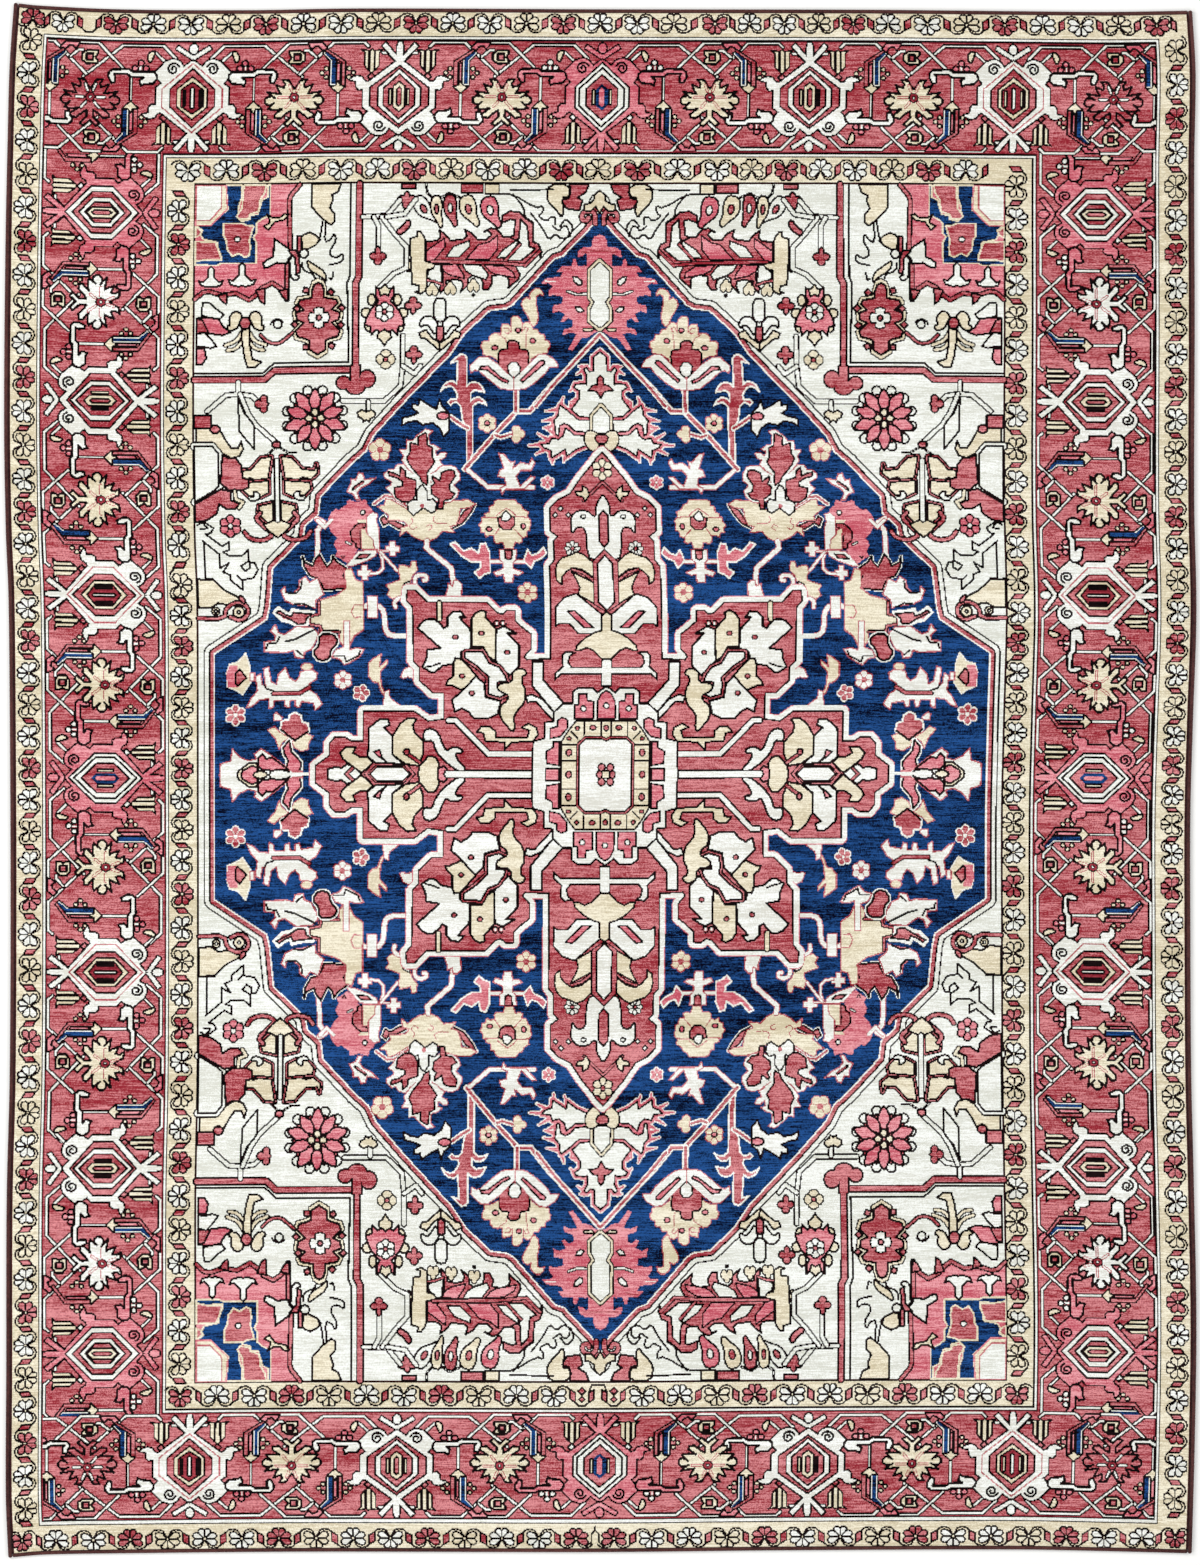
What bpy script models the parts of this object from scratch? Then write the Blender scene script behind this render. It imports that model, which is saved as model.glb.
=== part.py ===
"""A hand-knotted medallion carpet lying flat: the knotted body, an overcast selvedge down each side
and a whipped binding across each end. Metres, +Z up, the origin under the middle of the carpet."""

from math import cos, pi

import bpy
from mathutils import Vector

# Driving dimensions.
MM = 0.001
WIDTH = 2740 * MM
LENGTH = 3563 * MM
BODY_THICK = 9 * MM
BODY_ROUNDING = 2 * MM
SELVEDGE_ACROSS = 10 * MM
BINDING_WIDE = 9 * MM
BINDING_THICK = 6 * MM
BINDING_ROUNDING = 1.5 * MM
SEWN_GAP = 0.3 * MM

# How finely the outline and the roundings are stepped.
SIDE_STEPS = 72
END_STEPS = 56
ROUNDING_STEPS = 2
CORD_SIDES = 10

# How far each edge strays outside the true rectangle, in millimetres, as a weaver's beat leaves it.
# A row is (share of the way along the edge, stray). The sides run from the near end to the far end,
# and the ends from the left side to the right side.
LEFT_STRAY = (
    (0.00, -3), (0.04, 3), (0.12, 2), (0.23, 1), (0.31, -6), (0.43, -8), (0.55, -6),
    (0.62, -3), (0.66, 3), (0.73, 7), (0.84, 4), (0.91, -1), (0.96, -6), (1.00, -16),
)
RIGHT_STRAY = (
    (0.00, -4), (0.07, 3), (0.15, 7), (0.24, 1), (0.31, -5), (0.40, -7), (0.48, -7),
    (0.54, -1), (0.61, 7), (0.68, 2), (0.80, 3), (0.90, 2), (0.96, 5), (1.00, -3),
)
NEAR_STRAY = (
    (0.00, 14), (0.03, 7), (0.09, 4), (0.25, 0), (0.50, 1), (0.65, -3), (0.85, -5),
    (0.93, -1), (1.00, 4),
)
FAR_STRAY = (
    (0.00, 14), (0.02, 8), (0.09, -1), (0.20, -3), (0.29, 1), (0.50, -1), (0.72, -2),
    (0.84, -5), (0.93, -7), (1.00, -4),
)


def stray_at(table, share):
    """The stray of an edge at a share of its length, in metres: a Catmull-Rom curve through its rows."""
    last = len(table) - 1
    k = max(i for i in range(last) if table[i][0] <= share + 1e-9)
    start, end = table[k], table[k + 1]
    before, after = table[max(k - 1, 0)], table[min(k + 2, last)]
    t = (share - start[0]) / (end[0] - start[0])
    slope_in = (end[1] - before[1]) / (end[0] - before[0]) * (end[0] - start[0])
    slope_out = (after[1] - start[1]) / (after[0] - start[0]) * (end[0] - start[0])
    stray = (
        (2 * t**3 - 3 * t**2 + 1) * start[1]
        + (t**3 - 2 * t**2 + t) * slope_in
        + (3 * t**2 - 2 * t**3) * end[1]
        + (t**3 - t**2) * slope_out
    )
    return stray * MM


def plan(u, v):
    """The place in plan at share u across and share v along the carpet, between its four edges."""
    left = -WIDTH / 2 - stray_at(LEFT_STRAY, v)
    right = WIDTH / 2 + stray_at(RIGHT_STRAY, v)
    near = -LENGTH / 2 - stray_at(NEAR_STRAY, u)
    far = LENGTH / 2 + stray_at(FAR_STRAY, u)
    return Vector((left + (right - left) * u, near + (far - near) * v, 0))


def spread(low, high, steps):
    """Evenly spread shares from low to high, both ends included."""
    return [low + (high - low) * i / steps for i in range(steps + 1)]


def ring(u_low, u_high, v_low, v_high, side_steps):
    """The outline of the part of the carpet between these shares, anticlockwise, each corner once."""
    across = spread(u_low, u_high, END_STEPS)
    along = spread(v_low, v_high, side_steps)
    return (
        [plan(u, v_low) for u in across[:-1]]
        + [plan(u_high, v) for v in along[:-1]]
        + [plan(u, v_high) for u in reversed(across[1:])]
        + [plan(u_low, v) for v in reversed(along[1:])]
    )


def wool(name, colour, roughness=0.95):
    """A plain matt wool of this colour."""
    material = bpy.data.materials.new(name)
    material.use_nodes = True
    shader = material.node_tree.nodes["Principled BSDF"]
    shader.inputs["Base Color"].default_value = (*colour, 1)
    shader.inputs["Roughness"].default_value = roughness
    shader.inputs["Metallic"].default_value = 0
    return material


def spline_of(name, points, closed):
    """A curve object that follows the points with straight runs."""
    curve = bpy.data.curves.new(name, "CURVE")
    spline = curve.splines.new("POLY")
    spline.points.add(len(points) - 1)
    for place, point in zip(spline.points, points):
        place.co = (*point, 1)
    spline.use_cyclic_u = closed
    return bpy.data.objects.new(name, curve)


def slab(name, outline, thick, rounding, material, collection):
    """A flat piece of cloth that lies on the floor: its outline, extruded, with rounded rims."""
    piece = spline_of(name, outline, closed=True)
    piece.data.dimensions = "2D"
    piece.data.fill_mode = "BOTH"
    piece.data.extrude = thick / 2 - rounding
    piece.data.bevel_depth = rounding
    piece.data.bevel_resolution = ROUNDING_STEPS - 1
    piece.data.offset = -rounding
    piece.location.z = thick / 2
    piece.data.materials.append(material)
    weld = piece.modifiers.new("caps to sides", "WELD")
    weld.merge_threshold = 0.01 * MM
    collection.objects.link(piece)


def cord(name, line, across, material, collection):
    """A round cord with flat ends that rests on one of its sides along a line on the floor."""
    piece = spline_of(name, line, closed=False)
    piece.data.dimensions = "3D"
    piece.data.bevel_depth = across / 2
    piece.data.bevel_resolution = CORD_SIDES // 2 - 2
    piece.data.use_fill_caps = True
    piece.location.z = across / 2 * cos(pi / CORD_SIDES)
    piece.data.materials.append(material)
    collection.objects.link(piece)


def carpet():
    """Builds the body, the two selvedges and the two end bindings."""
    for old in list(bpy.data.objects):
        bpy.data.objects.remove(old)
    collection = bpy.data.collections.new("medallion_carpet")
    bpy.context.scene.collection.children.link(collection)

    side = (SELVEDGE_ACROSS + SEWN_GAP) / WIDTH
    end = (BINDING_WIDE + SEWN_GAP) / LENGTH
    pile = wool("madder_pile", (0.40, 0.07, 0.08))
    overcast = wool("dark_overcast_wool", (0.06, 0.02, 0.018))
    whipped = wool("brown_whipped_wool", (0.12, 0.03, 0.03))

    body = ring(side, 1 - side, end, 1 - end, SIDE_STEPS)
    slab("carpet_body", body, BODY_THICK, BODY_ROUNDING, pile, collection)

    middle = SELVEDGE_ACROSS / 2 / WIDTH
    for name, u in (("selvedge_left", middle), ("selvedge_right", 1 - middle)):
        line = [plan(u, v) for v in spread(0, 1, SIDE_STEPS)]
        cord(name, line, SELVEDGE_ACROSS, overcast, collection)

    near = ring(side, 1 - side, 0, BINDING_WIDE / LENGTH, side_steps=1)
    far = ring(side, 1 - side, 1 - BINDING_WIDE / LENGTH, 1, side_steps=1)
    for name, outline in (("binding_near", near), ("binding_far", far)):
        slab(name, outline, BINDING_THICK, BINDING_ROUNDING, whipped, collection)


carpet()
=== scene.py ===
"""A hand-knotted medallion carpet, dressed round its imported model. The design is drawn knot by knot on a
chart, as a weaver's cartoon, and the chart is carried by the faces of the pile. Metres, +Z up."""

from functools import cache

import bpy
import numpy as np
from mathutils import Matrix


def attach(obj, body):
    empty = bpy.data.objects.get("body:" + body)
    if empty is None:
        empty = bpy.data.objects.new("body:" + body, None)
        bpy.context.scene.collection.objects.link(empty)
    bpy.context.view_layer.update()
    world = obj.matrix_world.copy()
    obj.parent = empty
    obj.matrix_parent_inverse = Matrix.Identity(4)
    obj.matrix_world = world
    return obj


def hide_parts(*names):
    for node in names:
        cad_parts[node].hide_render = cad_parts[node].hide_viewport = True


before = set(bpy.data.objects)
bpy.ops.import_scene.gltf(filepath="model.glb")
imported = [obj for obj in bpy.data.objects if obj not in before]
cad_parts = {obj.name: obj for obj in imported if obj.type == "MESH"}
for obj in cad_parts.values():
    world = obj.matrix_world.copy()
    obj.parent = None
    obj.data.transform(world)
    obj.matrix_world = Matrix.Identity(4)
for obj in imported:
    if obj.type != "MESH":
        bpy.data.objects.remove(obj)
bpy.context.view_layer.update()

bl_info = {
    "name": "Knotted medallion carpet",
    "version": (1, 0, 0),
    "blender": (4, 5, 0),
    "location": "3D View > Sidebar > Carpet",
    "description": "Builds the pile, selvedges and end bindings of a knotted carpet from its chart",
    "category": "Object",
}

MM = 0.001

# The carpet's own sizes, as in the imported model.
WIDTH = 2740 * MM
LENGTH = 3563 * MM
BODY_THICK = 9 * MM
SELVEDGE_ACROSS = 10 * MM
BINDING_WIDE = 9 * MM
BINDING_THICK = 6 * MM
SEWN_GAP = 0.3 * MM

# How far each edge strays outside the true rectangle: (share of the way along the edge, millimetres outward).
LEFT_STRAY = (
    (0.00, -3), (0.04, 3), (0.12, 2), (0.23, 1), (0.31, -6), (0.43, -8), (0.55, -6),
    (0.62, -3), (0.66, 3), (0.73, 7), (0.84, 4), (0.91, -1), (0.96, -6), (1.00, -16),
)
RIGHT_STRAY = (
    (0.00, -4), (0.07, 3), (0.15, 7), (0.24, 1), (0.31, -5), (0.40, -7), (0.48, -7),
    (0.54, -1), (0.61, 7), (0.68, 2), (0.80, 3), (0.90, 2), (0.96, 5), (1.00, -3),
)
NEAR_STRAY = (
    (0.00, 14), (0.03, 7), (0.09, 4), (0.25, 0), (0.50, 1), (0.65, -3), (0.85, -5),
    (0.93, -1), (1.00, 4),
)
FAR_STRAY = (
    (0.00, 14), (0.02, 8), (0.09, -1), (0.20, -3), (0.29, 1), (0.50, -1), (0.72, -2),
    (0.84, -5), (0.93, -7), (1.00, -4),
)

# The design is drawn in chart units, of which the carpet measures this many. x runs to the right and
# y from the far end to the near end, and the corner of the carpet lies at CHART_CORNER.
CHART_ACROSS = 1188.5
CHART_ALONG = 1543.8
CHART_CORNER = (6.0, 8.2)

# A face of the pile holds a block of knots, and the knots of one row of the block make one number.
BLOCK_COLUMNS, BLOCK_ROWS = 6, 7
KNOT_COLUMNS = 197 * BLOCK_COLUMNS
KNOT_ROWS = 220 * BLOCK_ROWS
ROW_NAMES = [f"knots_{row}" for row in range(BLOCK_ROWS)]
MAP_MARGIN = 0.3  # how far inside the chart's map its outermost points stay, in knots
BLACK_SPREAD = 0.8  # how much wider than it is drawn a black line is knotted, in knots
SPREAD = 0.15  # and a line in any other dye

# The yarn round the edges.
EDGE_POINTS = 400  # points along the line of an edge
YARN_STEPS, YARN_SIDES = 5, 12  # rings to one turn of yarn, and points round each ring
LEAST_END = 0.02  # share of its size that a wrapped edge keeps at its very end
FIBRE_DEPTH = 0.6 * MM

# The dyes' numbers, and in their order the full and the palest tone of each, as screen values.
BLACK, DARK, RED, ROSE, CREAM, IVORY, NAVY, WHITE, MAROON = range(9)
DYES = {
    "black": ((0, 0, 0), (30, 15, 17)),
    "walnut": ((40, 12, 15), (74, 38, 38)),
    "madder": ((144, 36, 48), (218, 142, 146)),
    "rose": ((188, 78, 94), (232, 162, 168)),
    "camel": ((204, 191, 160), (242, 235, 214)),
    "ivory": ((212, 213, 202), (245, 247, 243)),
    "indigo": ((0, 0, 18), (34, 80, 143)),
    "white": ((214, 213, 203), (247, 249, 246)),
    "garnet": ((116, 22, 36), (172, 70, 80)),
}

# Shares of the width and length that the selvedges and bindings take from the knotted body.
SIDE_SHARE = (SELVEDGE_ACROSS + SEWN_GAP) / WIDTH
END_SHARE = (BINDING_WIDE + SEWN_GAP) / LENGTH


# ---------------------------------------------------------------------------------------------- the chart
class Chart:
    """The carpet's knots, one dye number each, drawn on with outlines and lines in chart units."""

    def __init__(self):
        self.knots = np.zeros((KNOT_ROWS, KNOT_COLUMNS), np.uint8)
        share = np.array([1 - 2 * SIDE_SHARE, 1 - 2 * END_SHARE])
        units = np.array([CHART_ACROSS, CHART_ALONG])
        self.corner = np.array(CHART_CORNER) + units * (1 - share) / 2
        self.scale = np.array([KNOT_COLUMNS, KNOT_ROWS]) / (units * share)
        self.x = (np.arange(KNOT_COLUMNS) + 0.5)[None, :] / self.scale[0] + self.corner[0]
        self.y = (np.arange(KNOT_ROWS) + 0.5)[:, None] / self.scale[1] + self.corner[1]

    def part(self, x0, y0, x1, y1):
        """The knots whose middles lie in this box of chart units."""
        return (self.x > x0) & (self.x < x1) & (self.y > y0) & (self.y < y1)

    def inside(self, points):
        """Box of the chart and the knots of it whose middles lie inside the outline, by counting how often a
        row crosses the outline before it reaches the knot."""
        x, y = points.T
        x1, y1 = np.roll(points, -1, axis=0).T
        rows, columns = self.knots.shape
        r0, r1 = max(int(np.floor(y.min())), 0), min(int(np.ceil(y.max())) + 1, rows)
        c0, c1 = max(int(np.floor(x.min())), 0), min(int(np.ceil(x.max())) + 1, columns)
        if r1 <= r0 or c1 <= c0:
            return (slice(0, 0), slice(0, 0)), np.zeros((0, 0), bool)
        middle = (np.arange(r0, r1) + 0.5)[:, None]
        crosses = (y <= middle) != (y1 <= middle)
        rise = np.where(y1 == y, 1.0, y1 - y)
        at = x + (middle - y) * (x1 - x) / rise
        row, edge = np.nonzero(crosses)
        column = np.clip(np.ceil(at[row, edge] - 0.5) - c0, 0, c1 - c0).astype(int)
        turns = np.zeros((r1 - r0, c1 - c0 + 1), np.int32)
        np.add.at(turns, (row, column), 1)
        return (slice(r0, r1), slice(c0, c1)), (np.cumsum(turns, axis=1)[:, :-1] % 2) == 1

    def fill(self, points, dye, part=None):
        """Dyes the knots inside an outline, or those of them that lie in the part."""
        box, mask = self.inside((points - self.corner) * self.scale)
        if part is not None:
            mask = mask & part[box]
        self.knots[box][mask] = dye

    def line(self, points, width, dye, closed=False, part=None):
        """Dyes the knots whose middles lie within half the width of the line; a black line spreads more."""
        rows, columns = self.knots.shape
        points = (points - self.corner) * self.scale
        ends = np.roll(points, -1, axis=0) if closed else points[1:]
        half = (width + (BLACK_SPREAD if dye == BLACK else SPREAD)) / 2
        for (x0, y0), (x1, y1) in zip(points[: len(ends)], ends):
            r0, r1 = max(int(min(y0, y1) - half), 0), min(int(max(y0, y1) + half) + 2, rows)
            c0, c1 = max(int(min(x0, x1) - half), 0), min(int(max(x0, x1) + half) + 2, columns)
            if r1 <= r0 or c1 <= c0:
                continue
            px = (np.arange(c0, c1) + 0.5)[None, :] - x0
            py = (np.arange(r0, r1) + 0.5)[:, None] - y0
            dx, dy = x1 - x0, y1 - y0
            along = np.clip((px * dx + py * dy) / max(dx * dx + dy * dy, 1e-9), 0, 1)
            near = (px - along * dx) ** 2 + (py - along * dy) ** 2 <= half * half
            if part is not None:
                near &= part[r0:r1, c0:c1]
            self.knots[r0:r1, c0:c1][near] = dye


def heading(degrees):
    """The cosine and the sine of an angle."""
    return np.cos(np.radians(degrees)), np.sin(np.radians(degrees))


def stays(points):
    """The place of a drawing that is not folded."""
    return points


class Pen:
    """Draws on a chart through one matrix and then through each of its places, which are functions."""

    def __init__(self, chart, places=((stays, None),), matrix=((1.0, 0, 0), (0, 1.0, 0))):
        self.chart = chart
        self.places = places
        self.matrix = np.asarray(matrix, float)

    def at(self, x, y, turn=0.0, across=1.0, along=1.0):
        """The pen moved to a place, turned by degrees, with its own two axes scaled."""
        c, s = heading(turn)
        return self.via([[c * across, -s * along, x], [s * across, c * along, y]])

    def both_sides(self, x=0.0):
        """The pen at a place on its own x axis, as it is and turned over left to right."""
        return [self.at(x, 0, across=side) for side in (1, -1)]

    def via(self, matrix):
        """The pen with one more matrix, which its points go through before the others."""
        step = np.vstack([np.asarray(matrix, float), [0, 0, 1.0]])
        return Pen(self.chart, self.places, self.matrix @ step)

    def put(self, points):
        """The points in each of the places, with the knots that may be dyed there."""
        points = np.asarray(points, float)
        placed = points @ self.matrix[:, :2].T + self.matrix[:, 2]
        return [(place(placed), part) for place, part in self.places]

    def fill(self, points, dye):
        """Dyes the inside of an outline in every place."""
        for placed, part in self.put(points):
            self.chart.fill(placed, dye, part)

    def line(self, points, width, dye, closed=False):
        """Dyes a line through the points in every place, with round ends and corners."""
        for placed, part in self.put(points):
            self.chart.line(placed, width, dye, closed, part)

    def shape(self, points, dye, edge=BLACK, width=1.5):
        """A filled outline with an edge line; dye or edge may be None."""
        if dye is not None:
            self.fill(points, dye)
        if edge is not None:
            self.line(points, width, edge, closed=True)

    def cord(self, points, core, dye, edge=BLACK, rim=1.3):
        """A line with a core and a rim on both sides."""
        self.line(points, core + 2 * rim, edge)
        self.line(points, core, dye)


def mirrored(half):
    """A closed outline from its right half, which runs from the top of the middle line to its foot."""
    half = np.asarray(half, float)
    back = half[::-1] * (-1, 1)
    keep = np.abs(back[:, 0]) > 1e-9
    return np.vstack([half, back[keep]])


def both(half):
    """A closed outline from one quarter, which runs from the top of the middle line to its right end."""
    half = np.asarray(half, float)
    lower = half[::-1] * (1, -1)
    right = np.vstack([half, lower[np.abs(lower[:, 1]) > 1e-9]])
    return mirrored(right)


def oval(x, y, across, along=None, start=0.0, end=360.0, steps=14):
    """A round outline or an arc from one angle in degrees to another: cosine across and sine along, at even
    steps. A full round doesn't repeat its first point."""
    along = across if along is None else along
    t = np.radians(np.linspace(start, end, steps, endpoint=abs(end - start) < 360))
    return np.stack([x + across * np.cos(t), y + along * np.sin(t)], axis=1)


def smooth(points, rounds=2, closed=True):
    """Corner cutting: each corner is replaced by two points a quarter of the way along its sides."""
    points = np.asarray(points, float)
    for _ in range(rounds):
        after = np.roll(points, -1, axis=0) if closed else points[1:]
        here = points if closed else points[:-1]
        cut = np.stack([here * 0.75 + after * 0.25, here * 0.25 + after * 0.75], axis=1).reshape(-1, 2)
        points = cut if closed else np.vstack([points[:1], cut[1:-1], points[-1:]])
    return points


def spiral(x, y, out, inward, start, turns, steps=22):
    """A spiral line from radius out to radius inward, from a start angle in degrees, over some turns."""
    t = np.linspace(0, 1, steps)
    angle = np.radians(start + 360 * turns * t)
    r = out + (inward - out) * t
    return np.stack([x + r * np.cos(angle), y + r * np.sin(angle)], axis=1)


def box(x0, y0, x1, y1):
    """The four corners of an upright box."""
    return np.array([(x0, y0), (x1, y0), (x1, y1), (x0, y1)], float)


def flip(points, side=-1):
    """The points turned over across the middle line, or left as they are where the side is 1."""
    return np.asarray(points, float) * (side, 1)


def turned(points, degrees):
    """The points turned about the origin."""
    c, s = heading(degrees)
    return np.asarray(points, float) @ np.array([[c, s], [-s, c]])


def union(pen, shapes, dye, edge=BLACK, width=1.4):
    """Shapes drawn as one, with an edge line only round the whole."""
    for points in shapes:
        pen.line(points, 2 * width, edge, closed=True)
    for points in shapes:
        pen.fill(points, dye)


def bar(x0, y0, x1, y1, width, end=None):
    """A straight bar as an outline, from one point to another, as wide at its end as told."""
    end = width if end is None else end
    dx, dy = x1 - x0, y1 - y0
    reach = np.hypot(dx, dy)
    sx, sy = -dy / reach / 2, dx / reach / 2
    return np.array([(x0 + sx * width, y0 + sy * width), (x1 + sx * end, y1 + sy * end),
                     (x1 - sx * end, y1 - sy * end), (x0 - sx * width, y0 - sy * width)])


def hexagon(across, straight, tall):
    """An upright hexagon: its half width, half the length of its sides and its half height."""
    return both([(0, -tall), (across, -straight)])


# --------------------------------------------------------------------------------------------- the borders
GUARD_PAIR = [(0, 0), (0, 9), (1.5, 11.1), (4.6, 11.1), (6.5, 8.8), (5.2, 5.6)]
GUARD_LOW = [(0, 0), (5.2, 5.6), (8, 7.2), (11, 6), (12.2, 3), (9.6, -0.2)]
GUARD_HIGH = [(0, 0), (9.6, -0.2), (12.3, -3), (11.6, -6.5), (8.6, -7.8), (5.2, -6.5)]
GUARD_VINE = [(0, -1), (2.2, -5.2), (4.2, -9), (8.5, -10.6), (13, -9.6), (15.9, -6.8)]
GUARD_PITCH = 37.2


def guard_rosette(pen, dye, up):
    """Three petals on each side of a middle, and the vine that dips to the middle between the high ones."""
    pen = pen.at(0, 0, along=-1 if up else 1)
    for side in (1, -1):
        pen.line(flip(GUARD_VINE, side), 0.9, BLACK)
        for petal in (GUARD_PAIR, GUARD_LOW, GUARD_HIGH):
            pen.shape(flip(petal, side), dye, BLACK, 0.8)
    pen.fill(oval(0, 0, 1.0, steps=8), CREAM)


def guard_leaf(pen, falling):
    """A slanted leaf, its right end lower where it falls."""
    leaf = [(-2.9, -6.8), (2.9, -3.3), (2.9, 6.8), (-2.9, 3.3)]
    pen.shape(flip(leaf, 1 if falling else -1), RED, BLACK, 0.9)


def guard_run(pen, anchors, dyes, up=False, leaves=()):
    """Rosettes along a run, each turned over from the one before, with a slanted leaf between two. Each
    anchor is the number and the place of a rosette, and the others are spread evenly between. A leaf past
    an end of the run is told by its place and which way it slants."""
    numbers, places = np.array(anchors, float).T
    spots = np.interp(np.arange(numbers[0], numbers[-1] + 1), numbers, places)
    gaps = np.diff(spots)
    for k, (middle, gap) in enumerate(zip((spots[1:] + spots[:-1]) / 2, gaps)):
        guard_leaf(pen.at(middle, 0, across=abs(gap) / GUARD_PITCH),
                   falling=((k % 2 == 1) == up) == (gap > 0))
    for middle, falling in leaves:
        guard_leaf(pen.at(middle, 0, across=0.9), falling)
    for k, (spot, gap) in enumerate(zip(spots, np.gradient(spots))):
        guard_rosette(pen.at(spot, 0, across=abs(gap) / GUARD_PITCH), dyes[k % len(dyes)], (k % 2 == 0) == up)


# Where rosettes of the guards stand: each one's number along its run and its place in chart units.
OUTER_TOP = [(0, 110.2), (8, 412.1), (15, 671.7), (16, 713), (21, 887.1), (23, 966.3), (28, 1157.6)]
OUTER_LEFT = [(0, 42.7), (6, 243.4), (13, 480.2), (19, 673.3), (25, 862.2), (32, 1110.8), (38, 1309.6),
              (44, 1504.9)]
OUTER_RIGHT = [(0, 48.8), (8, 319.9), (14, 515.1), (20, 704.9), (25, 852.2), (29, 990), (36, 1235.2),
               (44, 1497.6)]
INNER_TOP = [(0, 187.5), (4, 340.4), (11, 597.6), (14, 716.9), (18, 854.7), (21, 965.3)]
INNER_LEFT = [(0, 209.6), (10, 543.7), (11, 583.7), (20, 859.3), (35, 1362.9)]
INNER_RIGHT = [(0, 184.5), (13, 612), (21, 852.5), (36, 1357.5)]

# The guards at the foot run from both corners to the middle: first rosette, step to the next, corner rosette.
OUTER_FOOT = ((55, 37.24, 21), (1143.5, -37.8, 1177))
INNER_FOOT = ((216.6, 37.4, 180.1), (978.8, -37.5, 1015.7))
FOOT_MIDDLE = 595.5


def outer_guards(pen):
    """The four stripes of small rosettes round the carpet, each drawn with the field on its lower side."""
    top = pen.at(0, 23, along=0.9)
    guard_run(top, OUTER_TOP, [RED, WHITE, WHITE, CREAM],
              leaves=[(41, False), (74.2, True), (92.9, False), (1174.5, True)])
    guard_rosette(top.at(26.5, -1.5, across=0.95, along=0.95), RED, True)
    guard_rosette(top.at(57, 0, across=0.92), WHITE, False)
    top.line([(77, 6.8), (80.5, 10.5), (87, 10.5), (90.2, 6.8)], 0.9, BLACK)
    foot = pen.at(0, 1538, along=-0.9)
    for place, step, corner in OUTER_FOOT:
        guard_run(foot, [(0, place), (14, place + 14 * step)], [WHITE, WHITE, RED, CREAM],
                  leaves=[((place + corner) / 2, step < 0)])
        guard_rosette(foot.at(corner, 2, across=0.82), RED, True)
        half = foot.at(FOOT_MIDDLE, 0, across=1 if step > 0 else -1)
        half.line([(-9, -9), (-3.6, -4), (-3.6, 5), (0, 9), (0, 13)], 0.9, BLACK)
    for matrix, anchors, last in (([[0, 1, 25.8], [1, 0, 0]], OUTER_LEFT, 1520),
                                  ([[0, -1, 1175.5], [1, 0, 0]], OUTER_RIGHT, 1513.5)):
        guard_run(pen.via(matrix), anchors, [CREAM, WHITE, RED, WHITE], leaves=[(last, True)])


def inner_guards(pen):
    """The four stripes of small rosettes round the field, drawn in the same way."""
    top = pen.at(0, 169.2, along=0.95)
    dyes = [WHITE, WHITE, RED, CREAM] * 3 + [RED, WHITE, WHITE, CREAM] * 2 + [RED, WHITE]
    guard_run(top, INNER_TOP, dyes, leaves=[(985, False)])
    foot = pen.at(0, 1395.5, along=-0.95)
    for place, step, corner in INNER_FOOT:
        guard_run(foot, [(0, place), (9, place + 9 * step)], [WHITE, WHITE, RED, CREAM],
                  leaves=[((place + corner) / 2, step < 0)])
        guard_rosette(foot.at(corner, 0, across=0.92), RED, True)
        bud = foot.at(place + 9.75 * step, 0, across=1 if step > 0 else -1)
        guard_leaf(bud.at(-9, 0, across=0.9), False)
        guard_leaf(bud.at(9.5, 0, across=0.9), True)
        bud.line([(-6.3, -6.8), (-3, -10.4), (3, -10.4), (6.8, -6.8)], 0.9, BLACK)
        bud.line([(6.8, 3.5), (9.5, 11.3), (16.5, 11.3)], 0.9, BLACK)
        for y, reach in ((5.2, 4), (-3.6, 3)):
            bud.shape(both([(0, -reach), (reach, 0)]) + (0, y), RED, BLACK, 0.8)
    left = pen.via([[0, 1, 179], [1, 0, 0]])
    guard_run(left, INNER_LEFT, [WHITE, RED, WHITE, CREAM], up=True, leaves=[(192, True), (1379.5, True)])
    right = pen.via([[0, -1, 1016], [1, 0, 0]])
    guard_run(right, INNER_RIGHT, [CREAM, WHITE, RED, WHITE], leaves=[(167, False), (1374.5, True)])


# ------------------------------------------------------------------ main border
def lattice(pen):
    """The white lattice round a border rosette; the half drawn here is turned over for the other half."""
    for turn in (0, 180):
        p = pen.at(0, 0, turn)
        for path in ([(-85, -39), (-72, -52), (-31, -52), (7.5, -20.5)],
                     [(-31.5, -30), (-6.5, -54), (12, -54)],
                     [(5, -23), (38, -54), (69, -54), (73, -50)],
                     [(9.5, -46.5), (13, -46.5), (21, -40)]):
            p.cord(path, 1.7, WHITE, BLACK, 1.1)
        leaf = [(12.3, -54.5), (27, -54.5), (32, -49), (27.5, -45.5), (24, -49.8), (20, -51), (17, -47.5),
                (13.5, -51)]
        p.shape(leaf, ROSE, BLACK, 1.2)


def small_box(pen):
    """A square hook with a red middle."""
    pen.shape([(-8, -6.5), (3, -6.5), (8, -3), (8, 3), (3, 7), (-8, 6.5), (-8, 3), (-5.5, 0), (-8, -3)],
              CREAM, BLACK, 1.4)
    pen.shape(box(-3.2, -3.2, 3, 3.2), RED, BLACK, 1.6)


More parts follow.
